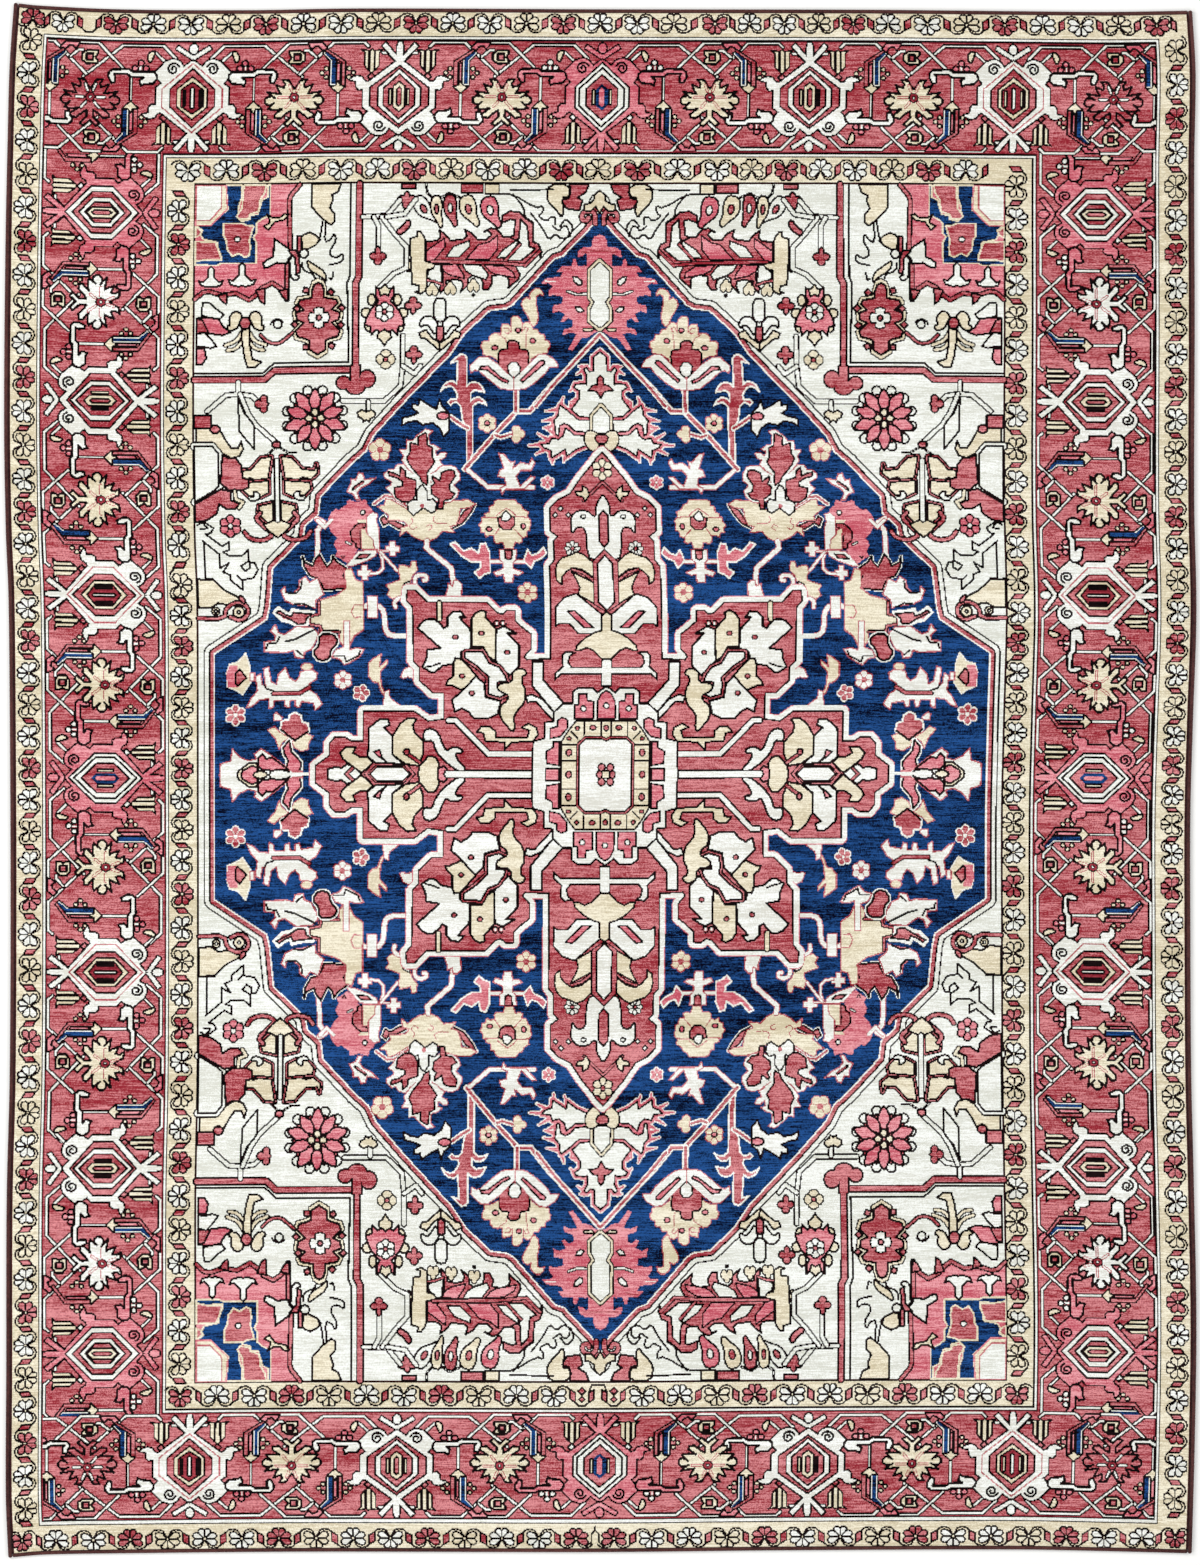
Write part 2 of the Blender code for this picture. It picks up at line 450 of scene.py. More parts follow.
def border_rosette(pen, dye, pale):
    """The jagged flower between two cartouches, with rays and a dark eye."""
    half = [(0, -8.5), (3, -12), (5.5, -17), (12.5, -17.8), (9.5, -13.5), (10.5, -9.5), (18.2, -12.7),
            (15.5, -6.5), (13.5, -3.5), (26.8, -5.6), (21.5, -1), (19, 0.6), (22, -1.4), (26, -1.2),
            (29, 1.3), (29.2, 5), (26.5, 7.6), (22.5, 7), (20, 5), (26, 11.3), (19, 12.4), (12, 11.5),
            (19.5, 17), (19, 20.3), (13.5, 21), (7, 15.5), (3.3, 13.5), (3, 19.5), (10, 26.5), (6, 29),
            (0, 23.5)]
    pen.shape(mirrored(half), dye, BLACK, 1.5)
    for angle, tip in ((0, 15.5), (180, 15.5), (50, 15.5), (130, 13), (-68, 13), (-112, 13)):
        c, s = heading(angle)
        if pale:
            pen.cord([(6.5 * c, 6.5 * s), (tip * c, tip * s)], 1.3, dye, RED, 0.8)
        else:
            pen.cord([(7 * c, 7 * s), (14 * c, 14 * s)], 1.5, WHITE, BLACK, 0.9)
    pen.fill(oval(0, 0, 5.2), BLACK)
    pen.fill(oval(0, 0, 3.9), MAROON)
    pen.fill(oval(0, 0, 1.9), BLACK)
    pen.fill(oval(0, 0, 0.9), WHITE)


def dagger(pen, navy=True):
    """A stem with an arrow head, three dots on each side and a slanted bar, and a navy bar or none."""
    pen.cord([(0, -24), (0, 0)], 1.4, WHITE, BLACK, 0.8)
    pen.shape([(-7.2, 8), (-3, 8), (-3, 31), (14, 42), (12, 44.5), (-7.2, 32)], RED, BLACK, 0.8)
    pen.shape([(-2.2, 8), (1.2, 8), (1.2, 31), (-2.2, 29)], ROSE, BLACK, 0.9)
    if navy:
        pen.shape([(1.6, 8), (8.6, 8), (8.6, 32), (16.5, 40.5), (14, 42.5), (1.6, 34)], WHITE, BLACK, 0.8)
        pen.shape([(3.2, 9), (7, 9), (7, 33), (14.5, 40.5), (13, 41.5), (3.2, 34)], NAVY, None)
    pen.shape([(0, 0), (8, 7), (2.5, 8), (0, 12.5), (-2.2, 8), (-7.8, 7)], CREAM, BLACK, 0.8)
    for x, side in ((-10.8, -1), (12, 1)):
        for dx, dy in ((0, -4.3), (0, 4.3), (4.3, 0)):
            pen.shape(oval(x + side * dx, 20.5 + dy, 2.3, steps=8), CREAM, BLACK, 0.8)


def tulip(pen):
    """Three upright bars that flare at the foot."""
    side = [(3.4, -14), (7.4, -9), (7.4, 4), (11, 7), (3.4, 6)]
    for points in (side, flip(side), [(0, -17), (2.4, -14.5), (2.2, 6), (0, 7.5), (-2.2, 6), (-2.4, -14.5)]):
        pen.shape(points, CREAM, BLACK, 0.8)


ARM = [(36.4, -23.4), (39.5, -26), (60.4, -26), (64, -28.5), (80.8, -28), (84.2, -25), (84.6, -20.5),
       (81.3, -14.3), (77.6, -15.3), (77.4, -20.9), (79, -23.5), (65.5, -23.4), (61.4, -20.5), (49.2, -20.2),
       (53.3, -17.3), (51.7, -11.7), (48.2, -13.7), (39.5, -14.3), (35.6, -18.8)]
SHOULDER = [(8, -29), (13, -36), (20, -38.6), (27, -36.5), (38.8, -24.5), (31, -15), (20, -14)]
HIP = [(30, 13.8), (35.9, 7.7), (40.5, 7), (42.8, 9.7), (43.2, 15.5), (49.5, 16.9), (46, 19.2), (42, 20.4),
       (37.6, 19.2), (35, 15.3)]


def nested(pen, rows):
    """Hexagons laid one in another, each told by its three sizes and its dye."""
    for across, straight, tall, dye in rows:
        pen.shape(hexagon(across, straight, tall), dye, BLACK, 0.9)


def cartouche(pen, kind):
    """The turtle-like palmette of the border: a band round nested six-sided rings, with scrolled arms."""
    soft = kind in ("rose", "navy")
    band, small = (ROSE, WHITE) if soft else (WHITE, ROSE)
    for side in (1, -1):
        p = pen.at(0, 0, across=side)
        p.cord([(37.5, -44.5), (27, -35)], 1.6, WHITE, BLACK, 1.0)
        p.shape(smooth([(38, -46.5), (42, -47), (46, -43), (46, -38), (43, -34.5), (41, -38)], 1), CREAM,
                BLACK, 1.2)
        p.cord([(5, 37), (12.5, 43.8), (17, 43.8)], 1.6, WHITE, BLACK, 1.0)
        tulip(p.at(28, 40))
        p.shape([(28, 15.5), (32, 19.8), (28, 24), (24, 19.8)], small if soft else RED, BLACK, 1.2)
        for x, y in ((52.2, -34.6), (47, -29.4), (58, -29.4)):
            p.shape(oval(x, y, 3.2, 2.9, steps=9), small, BLACK, 1.1)
        p.line([(52.6, -30.5), (52.6, -27.5)], 1.4, WHITE)
        dagger(p.at(61.4, 3.3), navy=kind != "rose" or side == 1)
    parts = [hexagon(36, 10.5, 38)]
    for side in (1, -1):
        parts += [flip(SHOULDER, side), flip(HIP, side), flip(oval(19.7, -29, 9.6), side),
                  bar(0, 34, side * 16, 52, 3.4, 4.4)]
    parts.append(smooth(box(-3, 34, 3, 55), 1))
    union(pen, parts, band, BLACK, 1.3)
    union(pen, [bar(0, -40, 16.5, -50.5, 3.4, 3.6), bar(0, -40, -16.5, -50.5, 3.4, 3.6)], band, BLACK, 1.2)
    union(pen, [oval(0, -49, 3.8, 4.8)], band, BLACK, 1.2)
    for p in pen.both_sides():
        p.shape(ARM, band, BLACK, 1.5)
        p.line(spiral(19.7, -29, 6.4, 1.4, 200, 1.5), 1.3, BLACK)
    if kind == "white":
        pen.line(hexagon(30, 9.5, 34.5), 1.1, RED, closed=True)
        nested(pen, [(22.5, 8.5, 29.5, RED), (15.3, 9, 21.5, CREAM), (11.3, 8.2, 16, MAROON)])
        for x, tip, tall, wide, dye in (
                (0, 11, 9.5, 3.6, WHITE), (8, 8, 8, 2.4, CREAM), (-8, 8, 8, 2.4, CREAM)):
            pen.shape(both([(0, -tip), (wide / 2, -tall)]) + (x, 0), dye, BLACK, 0.9)
    elif kind == "lined":
        nested(pen, [(29.5, 9, 31, RED), (21.5, 9, 28, WHITE), (15.8, 8.3, 22.5, RED),
                     (5.8, 10.5, 15, CREAM), (2.2, 7.5, 9.5, RED)])
        for x in (8.8, -8.8):
            pen.shape(box(x - 1.3, -8, x + 1.3, 8), CREAM, BLACK, 0.9)
    elif kind == "rose":
        nested(pen, [(28.7, 10, 34.4, WHITE), (22.6, 9, 27.7, RED), (16.2, 8.5, 21.5, IVORY),
                     (11, 7, 16, RED), (5.8, 9, 14.4, CREAM), (2.3, 6.5, 9.7, RED)])
    else:
        nested(pen, [(27, 10, 34.7, WHITE), (15.8, 8.5, 22.5, RED)])
        pen.line(hexagon(22.3, 9, 29.5), 1.2, BLACK, closed=True)
        for x in (8.3, -8.3):
            pen.shape(box(x - 1.4, -7.5, x + 1.4, 7.5), CREAM, BLACK, 0.9)
        pen.shape(hexagon(5.8, 8.5, 13.5), NAVY, None)
        pen.shape(hexagon(2.5, 7.5, 9.5), ROSE, None)


def border_side(pen, cartouches, rosettes, kinds, dyes):
    """One side of the main border: along +x, outward -y. Lattice first, then cartouches, then rosettes."""
    for k, x in enumerate(rosettes):
        p = pen.at(x, 0, across=1 if k % 2 else -1)
        lattice(p)
        for s in (1, -1):
            small_box(p.at(2 * s, -40 * s, across=s))
    for k, (x, kind) in enumerate(zip(cartouches, kinds)):
        cartouche(pen.at(x, 0, along=1 if k % 2 else -1), kind)
    for x, dye in zip(rosettes, dyes):
        border_rosette(pen.at(x, 0), dye, dye != RED)


# Boxes laid one over another, from the outer ones in: left, top, right and foot in chart units, and the dye.
OUTER_BOXES = (
    (0, 0, 1202, 1566, DARK), (12, 0, 1188.5, 1566, CREAM), (38, 36, 1159.5, 1523, BLACK),
    (39.3, 37.4, 1158, 1521.6, WHITE), (41, 39.6, 1156, 1519.4, BLACK), (42.3, 41, 1154.6, 1518, MAROON),
    (43.3, 42, 1153.6, 1517, RED),
)
INNER_BOXES = (
    (160.8, 151.2, 1037.5, 1413.4, MAROON), (161.8, 152.3, 1036.3, 1412.3, BLACK),
    (163, 153.6, 1035, 1411, WHITE), (165, 155.6, 1033, 1409, BLACK), (166.3, 157, 1031.7, 1407.7, CREAM),
)
FIELD_BOXES = (
    (193.6, 182, 1005.5, 1382.5, BLACK), (194.8, 183.2, 1004.3, 1381.3, DARK),
    (197, 185.2, 1002.2, 1379.4, BLACK), (198.2, 186.4, 1001, 1378.2, IVORY),
)

# The main border: where its cartouches and rosettes stand along a side, what they are, and the middle of
# each side with the way that is outward. The long sides' drawing is squeezed along them and stretched across.
SIDE_CARTOUCHES = (24, 212, 400, 594, 777, 971, 1167, 1352, 1540)
SIDE_KINDS = ("lined", "rose", "lined", "white", "navy", "white", "lined", "rose", "lined")
SIDE_ROSETTES = (116, 301.5, 499, 684, 866, 1062, 1262, 1446)
SIDE_DYES = (CREAM, WHITE, CREAM, CREAM, CREAM, CREAM, WHITE, CREAM)
SIDE_MIDDLES = ((102.2, -1), (1096, 1))
SIDE_ALONG, SIDE_ACROSS = 0.92, 1.07
END_CARTOUCHES = (-14, 190, 397, 600, 808, 1012, 1214)
END_KINDS = ("lined", "white", "lined", "navy", "lined", "white", "lined")
END_ROSETTES = (88, 292.2, 500, 708, 912, 1112)
END_DYES = (RED, CREAM, CREAM, CREAM, CREAM, RED)
END_ROWS = ((96.7, 1.0, 42, 148.5), (1465.5, -0.945, 1414, 1517))  # middle, way and squeeze, top, foot


def boxes(pen, rows):
    """Boxes of one dye each, laid one over another."""
    for *corners, dye in rows:
        pen.fill(box(*corners), dye)


def borders(chart):
    """The grounds, the main border's long sides and then its ends, the guards and the field's edge."""
    pen = Pen(chart)
    boxes(pen, OUTER_BOXES)
    sides = Pen(chart, [(stays, chart.part(42, 148, 1156, 1416))])
    for middle, outward in SIDE_MIDDLES:
        p = sides.via([[0, SIDE_ACROSS * outward, middle], [SIDE_ALONG, 0, 0]])
        border_side(p, [y / SIDE_ALONG for y in SIDE_CARTOUCHES], [y / SIDE_ALONG for y in SIDE_ROSETTES],
                    SIDE_KINDS, SIDE_DYES)
    ends = Pen(chart, [(stays, chart.part(43, 41, 1155, 1519))])
    for middle, outward, top, foot in END_ROWS:
        boxes(pen, [(43.3, top, 162, foot, RED), (1036, top, 1153.6, foot, RED)])
        border_side(ends.at(0, middle, along=outward), END_CARTOUCHES, END_ROSETTES, END_KINDS, END_DYES)
    boxes(pen, INNER_BOXES)
    outer_guards(pen)
    inner_guards(pen)
    boxes(pen, FIELD_BOXES)


# ----------------------------------------------------------------------------------------------- the field
FIELD_LEFT, FIELD_RIGHT, FIELD_TOP, FIELD_FOOT = 198.3, 1001.5, 186.4, 1378.2
MIDDLE_ROW = 774.0
AXIS = ((186, 599.5), (340, 600.5), (450, 603), (620, 604.5), (774, 605.5), (930, 604.5), (1100, 602.5),
        (1220, 600), (1380, 599))


def axis(y):
    """Where the middle line of the field lies: it bends a little on its way from the far end to the near."""
    rows, columns = np.array(AXIS).T
    return np.interp(y, rows, columns)


def quarter(right, low):
    """The place of one quarter of the field. The drawing is of the top left one, and the others are folds of
    it: a point keeps its shares of the way from the middle lines to the field's edges."""
    def place(points):
        x, y = points[:, 0], points[:, 1]
        share = (axis(y) - x) / (axis(y) - FIELD_LEFT)
        down = (MIDDLE_ROW - y) / (MIDDLE_ROW - FIELD_TOP)
        y = MIDDLE_ROW + down * (FIELD_FOOT - MIDDLE_ROW) if low else y
        middle = axis(y)
        x = middle + share * (FIELD_RIGHT - middle) if right else middle - share * (middle - FIELD_LEFT)
        return np.stack([x, y], axis=1)
    return place


def quarters(chart):
    """The four places of the field drawing, each with the knots that it may cover."""
    to_right = chart.x > axis(chart.y)
    low = np.broadcast_to(chart.y > MIDDLE_ROW, to_right.shape)
    return [(quarter(right, foot), (to_right == right) & (low == foot)) for foot in (False, True)
            for right in (False, True)]


# ------------------------------------------------------------------ small motifs
def flower(pen, petals, reach, dye, edge, core, fat=0.8, width=1.2):
    """A ring of round petals about a core, with a line between each two. Fat widens the petals."""
    step = 360 / petals
    petal = oval(0, -reach * 0.6, reach * 0.75 * np.sin(np.radians(step / 2)) * fat, reach * 0.4, steps=12)
    union(pen, [turned(petal, k * step) for k in range(petals)] + [oval(0, 0, reach * 0.4)], dye, edge, width)
    for k in range(petals):
        pen.line(turned([(0, -reach * 0.3), (0, -reach * 0.68)], (k + 0.5) * step), width * 0.6, edge)
    pen.shape(oval(0, 0, reach * 0.27, steps=10), core, BLACK if edge == BLACK else RED, width * 0.7)


def trefoil(pen, dye, size, foot):
    """Three round lobes on a short foot that points down."""
    lobes = [oval(0, -6.5, 4), oval(-5.5, -0.5, 4, 3.4), oval(5.5, -0.5, 4, 3.4),
             [(-2.4, -3), (2.4, -3), (2.2, foot), (0, foot + 2.5), (-2.2, foot)]]
    union(pen, [np.asarray(lobe) * size for lobe in lobes], dye, BLACK, 1.3)


def eye(pen, x, y, across, along, dye):
    """A small round spot in a thin black line."""
    pen.shape(oval(x, y, across + 0.3, along + 0.3, steps=10), dye, BLACK, 0.6)


# ------------------------------------------------------------------ grounds
MEDALLION = [(600.3, 203), (597, 221), (589, 230), (564, 256), (555, 259), (514, 305), (507, 309), (491, 311),
             (467, 333), (452, 355), (404, 405), (376, 436), (368, 452), (355, 463), (322, 497), (320, 514),
             (306, 526), (304, 538), (272, 568), (268, 606), (265, 619), (212.5, 653), (212.5, 776)]


def medallion_ground(pen):
    """Ivory ground, then the navy medallion in its red, white and black lines."""
    pen.fill(box(196, 184, 607, 776), IVORY)
    closed = MEDALLION + [(608, 776), (608, 203)]
    for width, dye in ((22.6, BLACK), (20.4, IVORY), (12.0, BLACK), (9.6, RED), (2.8, WHITE)):
        pen.line(MEDALLION, width, dye)
    pen.fill(closed, NAVY)


def apex(pen):
    """The beige trefoil and the red curls over the point of the medallion."""
    for p in pen.both_sides(599.5):
        curl = [(-4, 223), (-4, 214), (-8, 210.5), (-14, 210.5), (-18, 215), (-17, 219.5), (-12, 220.5),
                (-11, 217)]
        p.cord(smooth(curl, 1, closed=False), 3.4, RED, BLACK, 1.1)
        p.shape([(-30, 184), (-29, 192), (-31, 198), (-39, 199), (-33, 208), (-20, 210), (-17, 200),
                 (-22, 197), (-14, 192), (-11, 184)], RED, BLACK, 1.3)
        p.shape(smooth([(-51, 184), (-53, 197), (-50, 203), (-42, 211), (-38, 217), (-35, 211), (-38, 197),
                        (-30, 197), (-30, 184)], 1), CREAM, BLACK, 1.3)
    half = [(0, -11), (5, -7), (6, -1), (10, 2), (15, 3), (15, 9), (9, 10), (4, 5), (2, 8), (0, 12)]
    pen.at(599.5, 201).shape(mirrored(half), CREAM, BLACK, 1.2)


# ------------------------------------------------------------------ corner of the field
def corner(pen):
    """The navy and rose corner with its red and cream flowers."""
    rose = [(196, 184), (300, 184), (291, 195), (289.5, 200), (291, 249), (292, 254), (288, 259), (288, 299),
            (282, 288), (273, 282), (263, 287), (257, 294), (250, 299), (237, 292), (223, 294), (210, 290),
            (204, 291), (196, 298)]
    pen.fill(rose, ROSE)
    pen.cord(rose[1:], 2.6, RED, BLACK, 1.2)
    for x, y, fall in ((226, 294, 9), (264, 289, 14), (287, 290, 10)):
        pen.shape([(x - 7, y), (x + 2, y - 2), (x + 1.5, y + fall), (x - 3, y + fall - 3)], RED, BLACK, 1.2)
    navy = [(226, 184), (242, 184), (242, 196), (239, 205), (238, 216), (242, 220), (250, 218), (250, 214),
            (258, 213), (261, 204), (262, 199), (268, 196), (268, 184), (270.5, 184), (270.5, 214),
            (262, 218), (257, 222), (257, 232), (254, 236), (257, 241), (257, 262), (222, 262), (218, 264),
            (196, 263.5), (196, 258), (222, 259), (222, 255), (219, 248), (218, 241), (204, 238), (201, 233),
            (203, 229), (196, 224), (210, 224), (228, 208)]
    pen.shape(navy, NAVY, CREAM, 1.4)
    pen.shape([(224, 222), (243, 222), (247, 224), (254, 225), (252, 232), (250, 239), (251, 246), (250, 254),
               (246, 256), (239, 252), (233, 255), (228, 248), (227, 239), (224, 234)], RED, CREAM, 1.5)
    eye(pen, 238, 238, 2.8, 2.4, WHITE)
    pen.shape([(244, 184), (266, 184), (265, 191), (260, 199), (259, 210), (250, 213), (249, 217), (240, 218),
               (237, 215), (242, 207), (243, 196)], RED, CREAM, 1.5)
    pen.shape([(196, 240), (216, 241), (219, 248), (222, 258), (208, 258), (196, 260)], RED, CREAM, 1.5)
    pen.shape([(196, 225), (202, 230), (200, 234), (196, 236)], RED, CREAM, 1.3)
    pen.shape([(196, 184), (226, 184), (227.5, 208), (211, 224), (196, 224)], CREAM, ROSE, 1.2)
    pen.shape([(196, 184), (221.5, 184), (221.5, 207), (210, 219), (196, 219)], IVORY, RED, 1.3)


def corner_leaves(pen):
    """Cream and ivory leaves that lie over the rose of the corner."""
    y_leaf = [(267, 213), (273, 217), (280, 217), (285, 213), (289, 214), (285, 219), (275, 221), (272, 225),
              (269, 229), (264, 225), (270, 222), (270, 219)]
    pen.shape(y_leaf, CREAM, BLACK, 1.2)
    pen.shape([(275, 238), (288, 247), (294, 253), (289, 258), (288, 263), (277, 262), (270, 266), (265, 267),
               (264, 262), (269, 258), (274, 256)], IVORY, BLACK, 1.4)
    for x, y, size in ((212, 276, 1.0), (243, 274, 1.15)):
        half = [(0, -11), (3, -8), (3, 0), (8, 5), (12, 3.5), (10, 8), (3, 10), (0, 9)]
        pen.at(x, y, across=size, along=size).shape(mirrored(half), IVORY, BLACK, 1.2)


def leaves_by_corner(pen):
    """Palmettes, the lobed star and loose leaves of the small square next to the corner."""
    pen.shape([(312, 184), (312, 207), (322, 218), (331, 225), (335, 222), (335, 214), (330, 208), (333, 200),
               (332, 195), (338, 192), (341, 184)], CREAM, BLACK, 1.3)
    pen.shape([(302, 236), (305, 234), (310, 232), (316, 235), (321, 240), (316, 245), (308, 249),
               (303, 248)], CREAM, BLACK, 1.2)
    pen.shape(box(297.5, 236, 301.5, 252), RED, BLACK, 1.2)
    pen.shape([(289, 250), (297, 250), (300, 258), (301, 272), (297, 274), (296, 258)], RED, BLACK, 1.2)
    pen.shape(oval(304.6, 253.2, 4.4), IVORY, BLACK, 1.2)
    for points in (
            [(323, 221), (321, 236), (318, 242)],
            [(326, 222), (325, 242), (331, 240), (335, 233), (337, 240), (331, 250)],
            [(331, 250), (331, 256), (338, 258), (344, 253), (344, 262), (330, 265)],
            [(291, 262), (291, 276), (297, 281), (301, 276), (296, 274)],
            [(334, 272), (333, 280), (330, 278)],
            [(303, 262), (303, 268), (308, 272), (314, 273), (317, 282)]):
        pen.line(smooth(points, 1, closed=False), 1.2, BLACK)
    pen.shape(smooth([(307, 259), (316, 265), (326, 272), (328, 283), (321, 276), (310, 270)], 1), CREAM,
              BLACK, 1.1)
    lobed_star(pen.at(319, 318.5))
    for x, y, turn in (
            (307, 290, 20), (332, 292, 45), (298, 308, 45), (343, 308, 45), (296, 324, 45), (342, 325, 45),
            (307, 347, 0), (333, 346, 30)):
        pen.at(x, y, turn).shape(box(-2.6, -2.6, 2.6, 2.6), RED, BLACK, 1.1)
    pen.cord(smooth([(262, 334), (270, 342), (281, 343), (288, 337), (294, 332)], 1, closed=False), 1.6, RED,
             BLACK, 1.2)
    pen.shape(oval(279, 323.5, 4.2), IVORY, BLACK, 1.1)
    pen.line(oval(278.5, 324.5, 6.5, 6, 190, 330), 1.2, BLACK)
    pen.shape([(203, 311), (204, 301), (210, 301), (218, 308), (225, 313), (222, 317), (212, 317),
               (203, 314)], IVORY, BLACK, 1.2)
    pen.shape([(198, 317), (210, 316), (220, 318), (225, 326), (232, 331), (224, 334), (210, 332),
               (198, 332)], ROSE, BLACK, 1.3)
    pen.shape([(198, 317), (204, 319), (210, 331), (198, 332)], RED, BLACK, 1.2)
    pen.shape([(198, 333), (206, 331), (212, 337), (218, 345), (212, 347), (204, 345), (198, 346)], WHITE,
              BLACK, 1.2)
    pen.shape([(198, 347), (206, 347), (208, 357), (204, 363), (198, 363)], ROSE, BLACK, 1.3)
    stalk_palmette(pen.at(247, 322))


def lobed_star(pen):
    """A red star with a cream rim and eight lobes, and a white cross flower in the middle."""
    half = [(0, -36), (4, -34), (6, -28), (6, -21), (18, -19), (20, -15), (14, -9), (22, -6), (21, 1),
            (14, 4), (22, 12), (20, 18), (12, 20), (8, 22), (8, 31), (0, 36)]
    for width, dye in ((4.6, BLACK), (2.6, CREAM)):
        pen.line(mirrored(half) * 1.07, width, dye, closed=True)
    pen.shape(mirrored(half), RED, BLACK, 1.5)
    petals = [turned([(-3, 2), (-4.3, -8.6), (0, -10), (4.3, -8.6), (3, 2)], 90 * k) for k in range(4)]
    union(pen.at(1, -1), petals, WHITE, BLACK, 1.2)
    pen.shape(oval(1, -1, 2.8, steps=8), RED, BLACK, 1.1)


def stalk_palmette(pen):
    """A red ball between two cream curls, on a long stalk with slender leaves."""
    for p in pen.both_sides():
        p.shape(smooth([(3, -6), (6, -11), (12, -12), (17, -5), (15, 2), (19, 3), (17, 8), (9, 6), (6, 0)],
                       1), CREAM, BLACK, 1.3)
        p.cord(smooth([(3, 8), (9, 18), (20, 22)], 1, closed=False), 2.4, CREAM, BLACK, 1.1)
        p.cord(smooth([(3, 18), (10, 26), (18, 27)], 1, closed=False), 2.2, CREAM, BLACK, 1.1)
    pen.shape([(-3, 4), (4, 4), (4, 20), (7, 36), (16, 39), (10, 44), (2, 44), (-1, 34), (-4, 14)], CREAM,
              BLACK, 1.3)
    pen.shape(oval(-0.5, 0, 5.4, 6), RED, BLACK, 1.4)


def bracket(pen):
    """The red L-shaped band that parts the corner square from the spandrel."""
    inner = [(350.7, 184), (350.7, 276), (348, 283), (350.2, 362), (276, 362), (264, 372.6), (196, 372.6)]
    pen.line(inner, 1.3, BLACK)
    core = [(359.6, 184), (359.6, 277), (356.5, 283), (357, 369.8), (276, 369.8), (266, 378.6), (196, 378.6)]
    pen.cord(core, 4.6, RED, BLACK, 1.4)
    lobes = [oval(345, 383, 6.5, 6), oval(368.5, 379, 7.5, 8), oval(357, 387, 9, 7), box(353, 366, 361, 386)]
    union(pen, lobes, RED, BLACK, 1.4)
    pen.fill(box(354.7, 350, 359.3, 384), RED)


# ------------------------------------------------------------------ ivory spandrel
def spandrel_top(pen):
    """Leaves that hang from the top edge of the field."""
    pen.shape(box(461, 184, 483, 193), RED, BLACK, 1.1)
    pen.shape(box(485, 184, 499, 194), CREAM, BLACK, 1.1)
    pen.shape(box(402, 184, 416, 189), RED, BLACK, 1.1)
    trefoil(pen.at(407, 199, 180), RED, 0.9, 5)
    pen.cord([(426, 184), (427, 193), (434, 199), (443, 197), (449, 193), (459, 197)], 0.1, IVORY, BLACK, 1.0)
    leaf = smooth([(-5, -6), (5, -7), (8, 3), (6, 13), (8, 24), (4, 27), (0, 20), (-7, 12), (-8, 2)], 1)
    for x, y, turn, wide, dye, core in ((420, 203, -33, 1.0, IVORY, RED), (436.4, 202, -3, 0.75, CREAM, RED),
                                        (450, 201, -3, 0.85, RED, WHITE), (467, 202, -12, 1.1, CREAM, RED),
                                        (489, 203, -10, 1.15, ROSE, WHITE)):
        p = pen.at(x, y, turn, wide)
        p.shape(leaf, dye, BLACK, 1.1)
        p.shape(oval(0, 7, 2.8, 5, steps=10), core, BLACK, 0.8)
    for points in (
            [(510, 190), (553, 189)],
            [(500, 194), (513, 194), (536, 208), (543, 205), (543, 212), (538, 216), (547, 221), (551, 216),
             (556, 217), (555, 224)],
            [(513, 194), (524, 207), (524, 216), (533, 222)],
            [(531, 213), (543, 228), (549, 240), (556, 233), (562, 239), (570, 236), (568, 226), (562, 226),
             (560, 231), (553, 226)],
            [(570, 236), (574, 226), (566, 218), (560, 226)]):
        pen.line(smooth(points, 1, closed=False), 1.1, BLACK)
    feather(pen)


